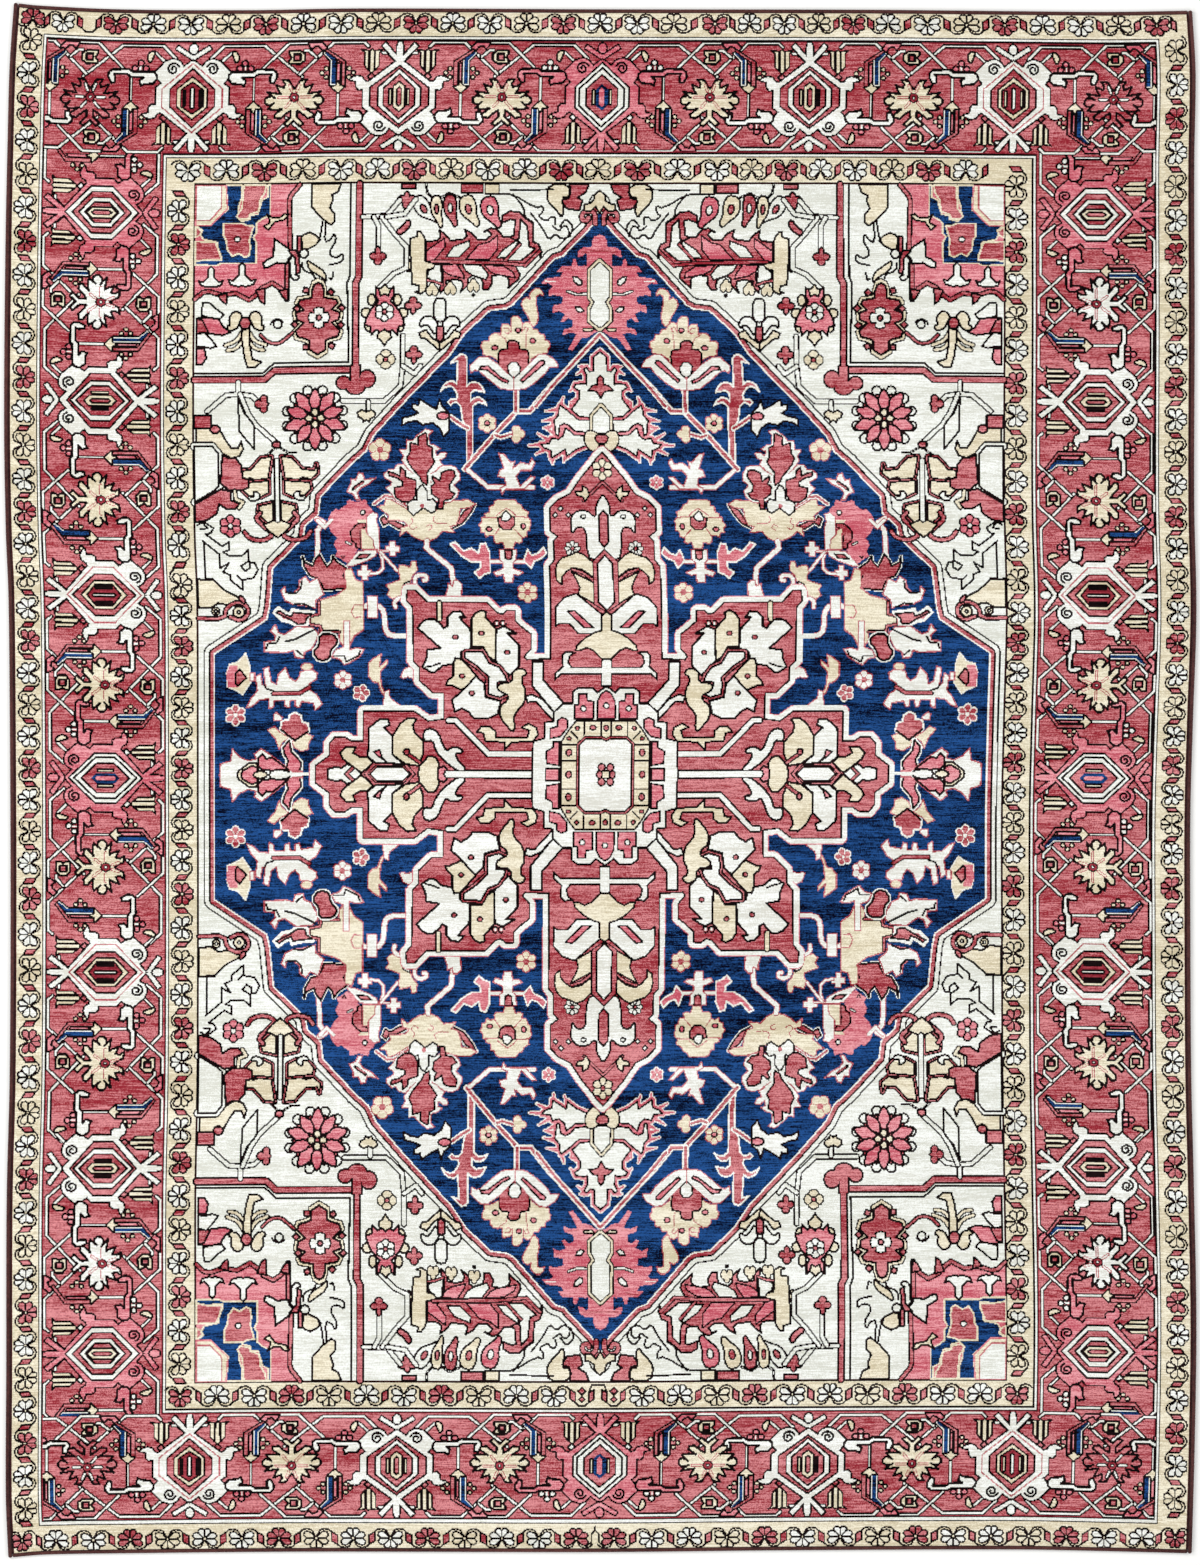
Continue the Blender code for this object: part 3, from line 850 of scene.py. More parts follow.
def feather(pen):
    """A long serrated red leaf: slanting leaflets over and under its spine, a hook and a cream foot."""
    pen.shape(oval(408.5, 265.5, 3, 6.5, steps=10), CREAM, BLACK, 1.1)
    pen.shape([(411, 238.5), (417.5, 236.5), (417.3, 231.5), (420.4, 231.5), (424.2, 236), (426, 241.5),
               (426, 261.5), (437, 264), (433.5, 268.5), (427.3, 270), (427.3, 286), (426.5, 291),
               (421, 294), (416, 292.3), (420, 291), (419.5, 285.5), (413, 284.5), (412, 271), (411, 254)],
              CREAM, BLACK, 1.2)
    pen.shape([(502.7, 222.5), (502.7, 215.4), (509.6, 211), (519, 211.5), (526.5, 218.5), (533, 223),
               (533.5, 241.5), (539, 244), (542, 251), (541.5, 258), (538, 252), (526, 266), (505, 264),
               (504, 260), (522, 260), (536, 248.5), (529.5, 246), (527.5, 226), (520.5, 219), (519.5, 238),
               (506, 246), (503, 240), (514.2, 235), (515.5, 220), (511, 219)], RED, BLACK, 1.1)
    pen.shape([(427, 262), (427, 241.5), (438, 240.8), (441, 237), (439.6, 230), (446, 234.6), (451, 240.8),
               (464, 239), (467.3, 236), (465, 229.2), (472, 233), (478, 239.7), (486.5, 239.7),
               (492, 234.6), (489, 230.8), (484.2, 231.5), (491, 228), (496, 228.5), (500.4, 232.3),
               (503.5, 237), (510, 237), (520, 242), (506, 260), (504, 263)], RED, BLACK, 1.2)
    pen.shape([(442, 264.5), (444, 272), (443.5, 283), (440.4, 287.5), (441.2, 293), (447.3, 286),
               (446.5, 281), (456, 279.2), (462.7, 281), (464, 285.4), (461, 292.3), (469, 284.6),
               (469, 278.5), (473, 275.5), (482, 278.5), (484, 284), (483.5, 289), (489, 289), (492.7, 283),
               (492, 276), (500.4, 274.5), (507.3, 276.5), (509.6, 280), (508.8, 287.7), (519.6, 278.5),
               (520.4, 274), (516, 266), (503.5, 263)], RED, BLACK, 1.2)
    leaflets = {ROSE: ([(427, 251), (445, 238), (445.5, 247), (434, 261.5), (427, 261.5)],
                       [(466, 259.5), (473.5, 251), (479, 244.5), (489, 242), (498, 235), (498, 249),
                        (489.5, 259.5)],
                       [(442, 265), (457, 264), (464, 274), (465, 278.5), (451, 275.5), (444, 271)],
                       [(485, 265), (503.5, 265.5), (514, 272), (515.8, 277.5), (496, 274), (490, 271)]),
                IVORY: ([(446.5, 257), (454, 246.5), (469.6, 240.5), (470.4, 246.5), (459.6, 257)],
                        [(497, 258), (503.5, 249.5), (518.8, 239), (517, 245), (507, 257.5)],
                        [(429, 271), (433.5, 268.5), (436, 264.6), (441, 264.6), (443, 283), (432, 280),
                         (428, 277.5)],
                        [(462.7, 264), (482, 265.4), (489, 274.6), (486.5, 279.5), (473, 275),
                         (466.5, 271)])}
    for dye, leaves in leaflets.items():
        for leaf in leaves:
            pen.shape(leaf, dye, BLACK, 0.8)
    pen.cord([(505, 261), (520.5, 244)], 1.8, RED, BLACK, 0.8)
    pen.cord([(428, 280.5), (435, 281.5), (443, 284.5)], 1.4, RED, BLACK, 0.8)
    pen.cord([(433, 261.5), (457, 262), (501, 262.5), (526, 265), (540, 251)], 2.2, RED, BLACK, 0.8)
    for x, y in ((433, 290), (451, 289), (474, 286)):
        union(pen, [oval(x - 2.8, y + 1, 2.6, 4.2), oval(x + 2.8, y + 1, 2.6, 4.2), oval(x, y - 3, 2.4, 4)],
              CREAM, BLACK, 0.9)
    pen.fill(oval(474, 295, 2.2), BLACK)


def spandrel_branches(pen):
    """The ivory branches of the spandrel, drawn as double lines, with their buds and trefoils."""
    for path in (
            [(363, 217), (387, 216), (400, 200)], [(374, 217), (379, 226), (379, 250)],
            [(382, 217), (395, 234), (407, 247), (407, 268), (394, 274), (380, 288)],
            [(387, 217), (405, 214), (416, 199)],
            [(404, 336), (404, 366), (402, 386), (386, 401), (344, 401)],
            [(404, 366), (416, 374), (422, 366)], [(240, 381), (240, 393), (228, 394), (209, 410)],
            [(242, 393), (254, 395), (262, 403)], [(242, 393), (250, 412), (258, 424), (277, 441)],
            [(370, 402), (370, 412)]):
        pen.cord(path, 3.2, IVORY, BLACK, 1.1)
    trefoil(pen.at(378.5, 256, 180), RED, 0.8, 8)
    trefoil(pen.at(414, 306), RED, 0.8, 7)
    trefoil(pen.at(415, 355), RED, 0.8, 8)
    trefoil(pen.at(266, 403, -90), RED, 0.85, 2)
    pen.shape(smooth([(396, 231), (403, 226), (408, 219), (412, 223), (408, 230), (399, 236)], 1), RED,
              BLACK, 1.3)
    pen.shape(mirrored([(0, -4), (5, -6), (9, -3), (8, 1), (4, 3), (3, 6), (0, 4)]) + (368, 416), CREAM,
              BLACK, 1.2)
    rose_palmette(pen.at(385.5, 313))
    flower(pen.at(387, 359.5), 4, 9, CREAM, BLACK, RED, fat=0.95, width=1.0)
    lily(pen.at(441, 330))
    daisy(pen.at(316.6, 418))
    lily_tree(pen.at(278, 500))


def rose_palmette(pen):
    """A rose palmette with a white flower in it, cream leaves round it and a crown of spikes."""
    for p in pen.both_sides():
        for x, y, across, along in ((13, -13, 4, 6), (18.5, 0, 5, 5), (15, 14, 4.5, 5)):
            p.shape(oval(x, y, across, along, steps=9), CREAM, BLACK, 1.2)
    pen.shape(mirrored([(0, -25), (3, -21), (9, -26), (9, -17), (6, -12), (14, -3), (18, 5), (20, 12),
                        (14, 14), (13, 22), (8, 17), (3, 20), (0, 16)]), ROSE, BLACK, 1.4)
    pen.shape(mirrored([(0, 17), (6, 20), (7, 25), (3, 28), (0, 33)]), CREAM, BLACK, 1.2)
    pen.shape(mirrored([(0, -29), (3, -25), (6, -24), (4, -17), (0, -19)]), CREAM, BLACK, 1.2)
    flower(pen.at(0, -1), 6, 9, WHITE, BLACK, RED, fat=1.0)


def lily(pen):
    """A tulip with an oval bud, two curled upper leaves, a beige V and a red heart."""
    pen.shape(both([(0, -12), (4, -11), (6, -7), (6, 0)]) + (0, -20), IVORY, BLACK, 1.3)
    for p in pen.both_sides():
        p.shape(smooth([(1, -5), (8, -14), (15, -14), (20, -9), (20, -2), (14, -6), (9, -1), (5, 6)], 1),
                IVORY, BLACK, 1.2)
        p.shape([(0, 13), (8, 8), (14, 0), (21, 3), (19, 8), (14, 9), (0, 21)], CREAM, BLACK, 1.2)
    pen.shape(mirrored([(0, -4), (3.5, -3), (3.5, 9), (0, 12)]), RED, BLACK, 1.4)


def daisy(pen):
    """A rose flower of ten pointed petals, a ring of small white leaves and a four-petalled heart."""
    for k in range(12):
        pen.at(0, 0, 15 + 30 * k).shape(smooth([(-4, -24), (-5, -31), (0, -34), (5, -31), (4, -24)], 1),
                                        IVORY, BLACK, 1.1)
    petal = [(0, -7), (5.5, -14), (6.5, -21), (3, -29), (0, -32), (-3, -29), (-6.5, -21), (-5.5, -14)]
    for k in range(10):
        pen.at(0, 0, 36 * k + 18).shape(np.asarray(petal) * 0.8, RED, BLACK, 1.2)
    for k in range(5):
        pen.at(0, 0, 72 * k + 180).shape(petal, ROSE, BLACK, 1.3)
    for k in range(5):
        pen.at(0, 0, 72 * k + 216).shape(np.asarray(petal) * 0.93, ROSE, BLACK, 1.3)
    for k in range(4):
        pen.at(0, 0, 90 * k).shape(oval(0, -6, 3.6, 3.9, steps=9), CREAM, BLACK, 1.1)
    pen.shape(oval(0, 0, 2.4, steps=8), RED, BLACK, 1.0)


def lily_tree(pen):
    """A slim stem with three pairs of cream petals rimmed in red, and a bud on top."""
    pen.shape(oval(0, -56, 4.4, 3.6, steps=9), RED, BLACK, 1.4)
    pen.cord([(-2, -52), (-8, -47), (-8, -38)], 0.1, IVORY, BLACK, 0.9)
    pen.cord([(4, -53), (12, -48), (20, -48)], 0.1, IVORY, BLACK, 0.9)
    for p in pen.both_sides():
        for top, petal in (
                (-44, [(5, 0), (15, 1), (26, 13), (38, 14), (40, 8), (41, 17), (34, 23), (26, 21), (19, 24),
                       (9, 24)]),
                (-20, [(8, 0), (33, 2), (34, 9), (28, 15), (16, 16), (8, 12)]),
                (2, [(4, 0), (18, 3), (19, 10), (14, 16), (4, 24)])):
            outline = np.asarray(petal, float) + (0, top)
            p.line(outline, 5.6, BLACK, closed=True)
            p.line(outline, 3.2, RED, closed=True)
            p.shape(outline, CREAM, BLACK, 1.1)
        p.shape(smooth([(17, -8), (24, -10), (22, -4), (30, -5), (26, 1), (17, -2)], 1), IVORY, BLACK, 1.1)
        p.cord(smooth([(17, 12), (22, 18), (13, 26), (4, 34), (14, 40), (28, 38), (33, 31)], 1,
                      closed=False), 2.8, RED, BLACK, 1.2)
    pen.shape(mirrored([(0, 18), (14, 24), (8, 31), (0, 37)]), CREAM, BLACK, 1.3)
    pen.cord([(0.5, -40), (0.5, 19)], 3.6, IVORY, BLACK, 1.2)


def spandrel_side(pen):
    """The leaves and half flowers along the side edge of the field."""
    pen.shape([(198, 427), (212, 427), (222, 429), (228, 440), (233, 447), (240, 447), (243, 440), (245, 448),
               (241, 455), (233, 457), (222, 451), (216, 443), (198, 443)], CREAM, BLACK, 1.3)
    pen.shape(box(196, 414, 213, 427), RED, BLACK, 1.3)
    pen.shape(oval(217, 428, 5, 4.2, steps=10), RED, BLACK, 1.3)
    hexed = [(196, 445), (214, 445), (220.5, 453), (220.5, 485), (216, 489), (196, 501)]
    pen.line(hexed, 8.4, BLACK)
    pen.line(hexed, 6.0, IVORY)
    pen.shape(hexed, IVORY, BLACK, 1.2)
    pen.shape([(224, 454), (231, 457), (237, 457), (243, 464), (244, 477), (250, 478), (250, 486), (244, 489),
               (230, 489), (222, 482)], RED, BLACK, 1.4)
    pen.shape([(196, 503), (222, 488), (232, 490), (232, 499), (241, 503), (236, 508), (228, 508), (220, 503),
               (218, 512), (208, 519), (196, 521)], RED, BLACK, 1.4)
    pen.cord([(236, 490), (237, 498), (244, 501), (240, 507)], 2.4, CREAM, BLACK, 1.1)
    flower(pen.at(231, 525), 6, 10.5, ROSE, BLACK, WHITE, fat=0.95)
    for points in (
            [(203, 540), (219, 553), (219, 567), (228, 562), (222, 571), (229, 574), (229, 579), (241, 589),
             (241, 580), (236, 575), (240, 579), (252, 577), (257, 569), (254, 562), (249, 561), (249, 567),
             (244, 570), (240, 565), (248, 560), (248, 549), (241, 555), (229, 555), (223, 551)],
            [(205, 521), (214, 527), (211, 532), (206, 533), (222, 545), (229, 541), (229, 549), (223, 551)],
            [(204, 541), (204, 578), (212, 578)], [(198, 524), (203, 521), (208, 527), (201, 528)]):
        pen.line(points, 1.2, BLACK)
    pen.shape([(240, 397), (246, 412), (253, 420), (256, 425), (256, 448), (249, 440), (241, 430)], IVORY,
              BLACK, 1.2)
    pen.shape([(196, 578), (212, 579), (224, 590), (236, 596), (240, 605), (227, 604), (216, 602), (208, 607),
               (196, 606)], CREAM, BLACK, 1.3)
    pen.cord(smooth([(196, 617), (222, 618), (224, 606), (237, 600), (246, 606), (246, 614), (238, 620),
                     (228, 616)], 1, closed=False), 2.4, RED, BLACK, 1.2)
    for x, y, r in ((213.5, 610, 4), (236.5, 611, 5.5)):
        pen.shape(oval(x, y, r), CREAM, BLACK, 1.1)
        pen.shape(oval(x, y, 1.6, steps=8), WHITE, BLACK, 0.9)
    pen.shape(smooth([(236, 594), (242, 596), (244, 603), (238, 601)], 1), RED, BLACK, 1.2)


# ------------------------------------------------------------------ navy medallion
def navy_crown(pen):
    """The rose crown under the point: serrated lobes down both sides of a long ivory hexagon."""
    half = [(0, -16), (4.7, -14), (7.2, -9), (7.2, -4), (15.5, -3.3), (20.5, 0), (21.8, 6.7), (17, 5.5),
            (13.8, 3), (12, 4), (12, 15.8), (14.7, 15), (21.3, 16), (23.5, 9), (26, 9), (27.2, 15.8),
            (37, 15.8), (42, 21), (36, 21.5), (38.8, 26.7), (45.5, 27), (53.8, 28.3), (58, 33.5),
            (50.5, 32.8), (46.3, 35.8), (50.5, 41), (50.5, 46), (45.5, 44.5), (36, 46.5), (37, 53.3),
            (45.5, 55), (46.3, 63), (40.5, 60.5), (33.8, 63.3), (38, 71), (34.7, 71.7), (30.5, 67.5),
            (26, 70), (26.3, 76.7), (34.7, 79), (36.3, 85), (28.8, 82), (22, 83.3), (30.5, 99), (26.3, 100),
            (17, 87.5), (10.5, 86.7), (4, 82), (0, 81)]
    pen.shape(mirrored(half), ROSE, None)
    for p in pen.both_sides():
        p.line([(0, 1), (9, 1), (17, 1.5)], 1.8, RED)
        for points, dye in (([(25, 20), (32, 18), (38, 18.5)], RED), ([(44, 31), (54, 30.5)], IVORY),
                            ([(38, 58), (44, 58)], RED), ([(20, 80), (32, 80.5)], RED)):
            p.line(points, 1.1, dye)
        p.shape([(26.3, 26), (22, 26.5), (17.5, 30), (17, 34), (20.5, 35), (25, 31)], WHITE, BLACK, 0.8)
        p.shape([(23.8, 56), (18.5, 56.5), (15, 60.5), (19, 62), (22.5, 60)], WHITE, BLACK, 0.8)
        p.cord([(12, 43.4), (22.2, 44), (31.3, 40.8)], 1.3, WHITE, BLACK, 0.8)
        p.shape([(4, 77.5), (15.5, 78), (15.5, 80.5), (8, 81)], CREAM, BLACK, 0.7)
    rim = mirrored([(0, 9.6), (10.4, 19.2), (10.4, 46.7), (6.8, 51.7), (10.4, 58.3), (10.4, 70.4), (0, 79.3)])
    pen.fill(rim, IVORY)
    pen.line(rim, 3.7, BLACK, closed=True)
    pen.line(rim, 1.9, CREAM, closed=True)


def fan_palmette(pen):
    """A cream fan of small scalloped lobes over two white leaves, with a red trefoil core."""
    pen.shape([(-3, -38), (-1, -40), (3, -40.3), (7, -37), (8, -32), (12, -34.6), (17, -33), (19, -27),
               (23, -27), (26, -22), (30, -22), (31, -16.5), (35, -15), (36, -10), (34, -8), (34, -4),
               (31, -3), (24, -2), (17, 3), (14, 16), (-14, 16), (-16, 4), (-23, 0), (-31, -1), (-31, -6),
               (-33, -9), (-32, -14.6), (-25, -15), (-25, -19), (-22, -22.4), (-17, -23.5), (-13, -22.4),
               (-13, -27), (-12, -32.4), (-5.7, -31.7), (-3, -29)], CREAM, RED, 0.9)
    for points in (
            [(-9, -24), (-6, -22.5), (-4, -25), (-6, -28), (-10, -28)],
            [(12, -24), (14, -28), (11, -29), (9, -26)], [(-16, -22), (-8.6, -17.4), (-8, -14)],
            [(12, -22), (11.4, -8)], [(-3, -36), (-3, -24)], [(8, -32), (8, -24)]):
        pen.line(points, 0.8, RED)
    pen.shape([(-7, -13), (-5, -15.3), (-0.7, -16), (4.3, -14), (5.7, -7.4), (13.6, -6), (15, 0), (14.3, 7),
               (13, 12.6), (7, 15.4), (-7, 15.4), (-11.4, 14), (-15.7, 9.7), (-15.7, -3), (-13, -6.7),
               (-6.4, -7.4)], RED, BLACK, 1.0)
    pen.shape([(-44.3, 9.7), (-34.3, 0.4), (-27, 0.4), (-17, 7), (0, 22.6), (14.3, 8.3), (24.3, -1.7),
               (31.4, -2.4), (40, 2.6), (43.6, 7.6), (44.3, 10.4), (35.7, 10.4), (31.4, 17), (20, 27),
               (11.4, 32.6), (0, 34), (-13, 32.6), (-24.3, 24), (-34.3, 15.4), (-38.6, 14), (-43, 17)],
              WHITE, RED, 0.9)
    pen.shape([(-6.4, 9.7), (-2.9, 6), (2.9, 6), (6.4, 11), (5.7, 17), (0, 22), (-5, 17.6)], WHITE, BLACK,
              0.7)
    pen.shape([(-35, 14), (-33, 10.4), (-25.7, 9.7), (-13, 21), (-5, 24.7), (-6.4, 27), (-11.4, 25.4),
               (-27, 14), (-33, 13.3)], ROSE, BLACK, 0.8)
    pen.shape([(6.4, 24), (25.7, 4.7), (30, 4), (30.7, 7), (28.6, 9), (8.6, 26)], ROSE, BLACK, 0.8)
    for x, y, across, along in ((3.9, -26, 2.4, 2.2), (18.6, -15.6, 2.6, 2.4), (-19.3, -8.4, 3, 2.2)):
        eye(pen, x, y, across, along, ROSE)
    pen.line([(0, 20), (0, 34)], 0.9, RED)


def red_tree(pen):
    """The red trunk with leaf pairs, its branches and the white leaf at its side."""
    trunk = [(462, 354), (466, 355), (468, 358), (468, 386), (471, 383), (475, 382), (480, 383), (483, 386),
             (486, 392), (481, 391), (476, 390), (472, 393), (472, 401), (475, 398), (480, 397), (485, 400),
             (488, 405), (484, 403), (479, 402), (474, 406), (474, 454), (468, 468), (468, 429), (464, 420),
             (462, 406), (458, 402), (454, 403), (452, 405), (449, 402), (452, 399), (458, 399), (459, 395),
             (457, 391), (454, 387), (450, 386), (445, 388), (442, 391), (445, 385), (449, 382), (454, 381),
             (458, 384), (459, 361), (452, 363), (458, 357)]
    pen.shape(trunk, RED, WHITE, 1.6)
    for path, core in (
            ([(452, 417), (462, 424), (469, 428)], 2.4),
            ([(466, 469), (499, 431), (518, 411), (531, 411), (548, 390), (571, 366), (599, 335)], 3),
            ([(517, 388), (517, 411)], 3), ([(497, 435), (502, 437), (512, 434)], 2.2)):
        pen.cord(path, core, RED, WHITE, 1.5)
    pen.shape([(403, 426), (404, 418), (413, 416), (420, 413), (414, 409), (414, 404), (420, 405), (421, 399),
               (430, 405), (438, 409), (441, 399), (444, 407), (450, 412), (451, 430), (445, 437), (441, 428),
               (434, 423), (424, 425), (418, 421), (410, 422)], WHITE, BLACK, 1.2)
    pen.shape(oval(444.5, 416, 6.5, 3.8, steps=10), ROSE, BLACK, 1.1)
    for x, y, petals, reach, dye in ((488.5, 423, 6, 9, CREAM), (381.5, 450, 5, 11, CREAM),
                                     (525.5, 592, 6, 9.8, CREAM), (340.5, 680, 6, 9, WHITE)):
        flower(pen.at(x, y), petals, reach, dye, RED, RED, fat=0.98, width=1.0)
    flower(pen.at(548.5, 482), 6, 6.5, ROSE, WHITE, WHITE, fat=0.9, width=1.1)
    eye(pen, 488.5, 423, 2.6, 2, ROSE)
    union(pen, [oval(517.5, 429, 4, 3.5), oval(522.5, 433.5, 3.5), oval(517.5, 438, 4), oval(517, 433.5, 3)],
          CREAM, RED, 0.8)


def maple_palmette(pen):
    """A red palmette of three lobed leaves in white fringes, on jagged cream leaves and a white core."""
    pen.cord([(-48, 2), (-37, -6), (-29, -5), (-16, 4)], 2.0, RED, WHITE, 1.2)
    for leaf in ([(33.5, 24), (37, 16), (42, 8.5), (53, 2.5), (49, 9.5), (45, 15), (40, 21), (30, 26)],
                 [(-42, 17), (-38, 14), (-35, 19), (-28, 19), (-17, 24), (-24, 27), (-34, 21), (-39, 24)]):
        pen.line(leaf, 3.4, WHITE, closed=True)
        pen.shape(leaf, RED, BLACK, 0.9)
    cream = [(-36.5, -3.2), (-31, -2.4), (-15.7, 6.8), (-9, 12), (0, 5), (10, 11), (22, 1.5), (32, -1.6),
             (46, -2.4), (53.5, 2.2), (47.4, 5.3), (38, 6.8), (36.6, 15.3), (33.5, 23), (27.4, 24.5),
             (32, 30.7), (19.7, 29.2), (13.5, 36), (5.8, 39.2), (-4.2, 37.5), (-11, 33.8), (-16.5, 29.2),
             (-22.6, 33.8), (-21.8, 26), (-15, 23.8), (-18.8, 19.2), (-28, 18.4), (-35, 18.4), (-33.4, 13.8),
             (-40.3, 8.4), (-45, 4.5), (-38, 3)]
    pen.shape(cream, CREAM, RED, 1.0)
    for points in (
            [(-11, 16), (-9, 20), (-14, 24), (-10, 28), (-6, 25)], [(12, 14), (10, 19), (16, 22), (24, 21)],
            [(4, 24), (8, 22), (10, 26), (6, 28)]):
        pen.line(smooth(points, 1, closed=False), 0.8, RED)
    fringes = [[(-5, -66), (4, -73), (11, -71), (7, -67), (8, -58), (13, -57), (19, -53), (14, -51),
                (15, -46), (20, -50), (25, -49), (23, -44), (18, -42), (21, -37), (16, -34), (13, -29),
                (14, -22), (8, -18), (-2, -18), (-6, -24), (-16, -36), (-20, -42), (-18, -46), (-22, -52),
                (-15, -53), (-15, -62), (-9, -61)],
               [(-25, -37), (-18, -38), (-14, -33), (-8, -28), (-4, -22), (-4, -12), (-8, -2), (-20, 2),
                (-27, -2), (-31, -9), (-36, -14), (-31, -17), (-30, -20), (-37, -24), (-38, -28), (-32, -33),
                (-28, -32)],
               [(7, -27), (14, -31), (20, -36), (28, -37), (34, -35), (38, -28), (38, -22), (32, -17),
                (37, -11), (35, -5), (28, 0), (16, 0), (8, -4), (6, -14), (9, -20)]]
    for fringe in fringes:
        pen.shape(fringe, WHITE, RED, 0.8)
    pen.fill([(-8, -30), (8, -30), (10, 4), (-12, 4)], WHITE)
    lobes = [[(3.5, -69), (5, -68), (5.8, -57), (11, -54), (10.5, -45), (13, -40), (9.7, -35), (5, -29),
              (6, -23), (5, -17), (0, -20), (-2, -25), (-8, -32), (-12.6, -38), (-15, -44), (-11.8, -49),
              (-11, -59), (-3, -57), (-3.4, -65)],
             [(-21, -35), (-16.5, -31), (-16, -25), (-6, -21.6), (-6, -14), (-7, -6), (-11, 0), (-20, 0),
              (-26.5, -4.7), (-28, -14), (-19.5, -16), (-19, -20), (-25, -24), (-32.6, -26), (-33.4, -30),
              (-28, -29), (-22, -26)],
             [(11, -26), (18, -21), (19.7, -29), (26, -32), (32, -31.6), (33.5, -26), (30.5, -21.6),
              (27.4, -17), (28, -11), (33, -8.5), (29, -3), (22, -1.6), (20.5, 7), (15.8, 7), (16.6, -3),
              (9.7, -8), (9, -15.5), (12.8, -18.5), (10.5, -23)]]
    for lobe in lobes:
        pen.shape(lobe, RED, BLACK, 0.9)
    pen.shape([(1, -17), (5, -11), (5, -1.6), (11, -3.2), (14.3, 1.5), (13, 9), (9, 11), (1, 6), (-9, 13.5),
               (-14, 9), (-15, 1.5), (-9.5, -2.4), (-5.7, -1.6), (-5, -11), (-2, -16)], WHITE, BLACK, 0.9)
    pen.fill(oval(0, 3.8, 2.2), RED)


def round_palmette(pen):
    """A round cream palmette with scalloped lobes, a red cup under a white drop, and stems and leaves."""
    pen.shape([(-8, -23), (8.8, -22.8), (11, -19), (15, -17.4), (16.5, -13.5), (21.8, -10.5), (21, -5.8),
               (24, -2), (23.5, 2.6), (23, 8), (20, 9), (19.5, 14), (14.5, 15.7), (15, 19.5), (11.8, 21),
               (8, 19.5), (5.7, 26), (-3, 26), (-4, 20.5), (-11.2, 21), (-13.5, 18), (-12.8, 14), (-17, 13),
               (-21.2, 15), (-22, 10.5), (-26, 10), (-25.5, 6), (-28, 3), (-24.5, -1), (-25, -5),
               (-21, -5.5), (-22, -8.5), (-17, -10), (-17, -15.8), (-12.8, -17), (-12, -21)], CREAM, RED,
              0.9)
    for points in ([(-22.8, -4.3), (-9, -5)], [(4, -5.8), (21.8, -5)], [(-8, 6.5), (-12.8, 13.4)],
                   [(6.5, 5.7), (15, 15)], [(-10, -7), (-6, -10), (0, -14), (6, -10), (9, -7)]):
        pen.line(points, 0.9, RED)
    pen.shape([(-9, -4), (-7.4, 4), (-3.5, 7.2), (4, 7.2), (8, 2.6), (8, -5), (5, -6), (-6.5, -5)], RED,
              BLACK, 0.9)
    pen.shape([(-5, -5), (-3.5, -9), (-0.5, -11.2), (3.4, -8), (4.4, -4.3), (0, -1), (-5, -2)], WHITE, BLACK,
              0.7)
    eye(pen, -17.7, 7, 2.8, 2.0, ROSE)
    eye(pen, 16.5, 4, 2.0, 2.8, ROSE)
    pen.cord([(-26, 40), (-16, 39), (16, 39), (24, 38)], 3.2, WHITE, RED, 0.8)
    pen.shape([(-8, 27), (9, 27), (8, 38), (5, 40), (5, 46), (15, 50), (10, 53), (5, 52), (4, 60), (-4, 60),
               (-5, 52), (-12, 54), (-15, 50), (-5, 46), (-5, 40), (-8, 38)], WHITE, RED, 1.0)
    pen.shape([(-3, 27.5), (4.5, 27.5), (4, 36), (0.5, 37.5), (-2.5, 36)], RED, BLACK, 0.8)
    pen.shape([(-57, 22), (-52, 20), (-44, 29), (-36, 26), (-29, 31), (-27, 22), (-22, 21), (-18, 30),
               (-18, 50), (-24, 52), (-29, 56), (-34, 50), (-28, 46), (-27, 40), (-36, 40), (-46, 34)], ROSE,
              WHITE, 1.6)
    pen.shape([(16, 38), (20, 27), (24, 33), (30, 31), (36, 25), (39, 31), (33, 36), (26, 39), (23, 46),
               (18, 41)], ROSE, WHITE, 1.5)


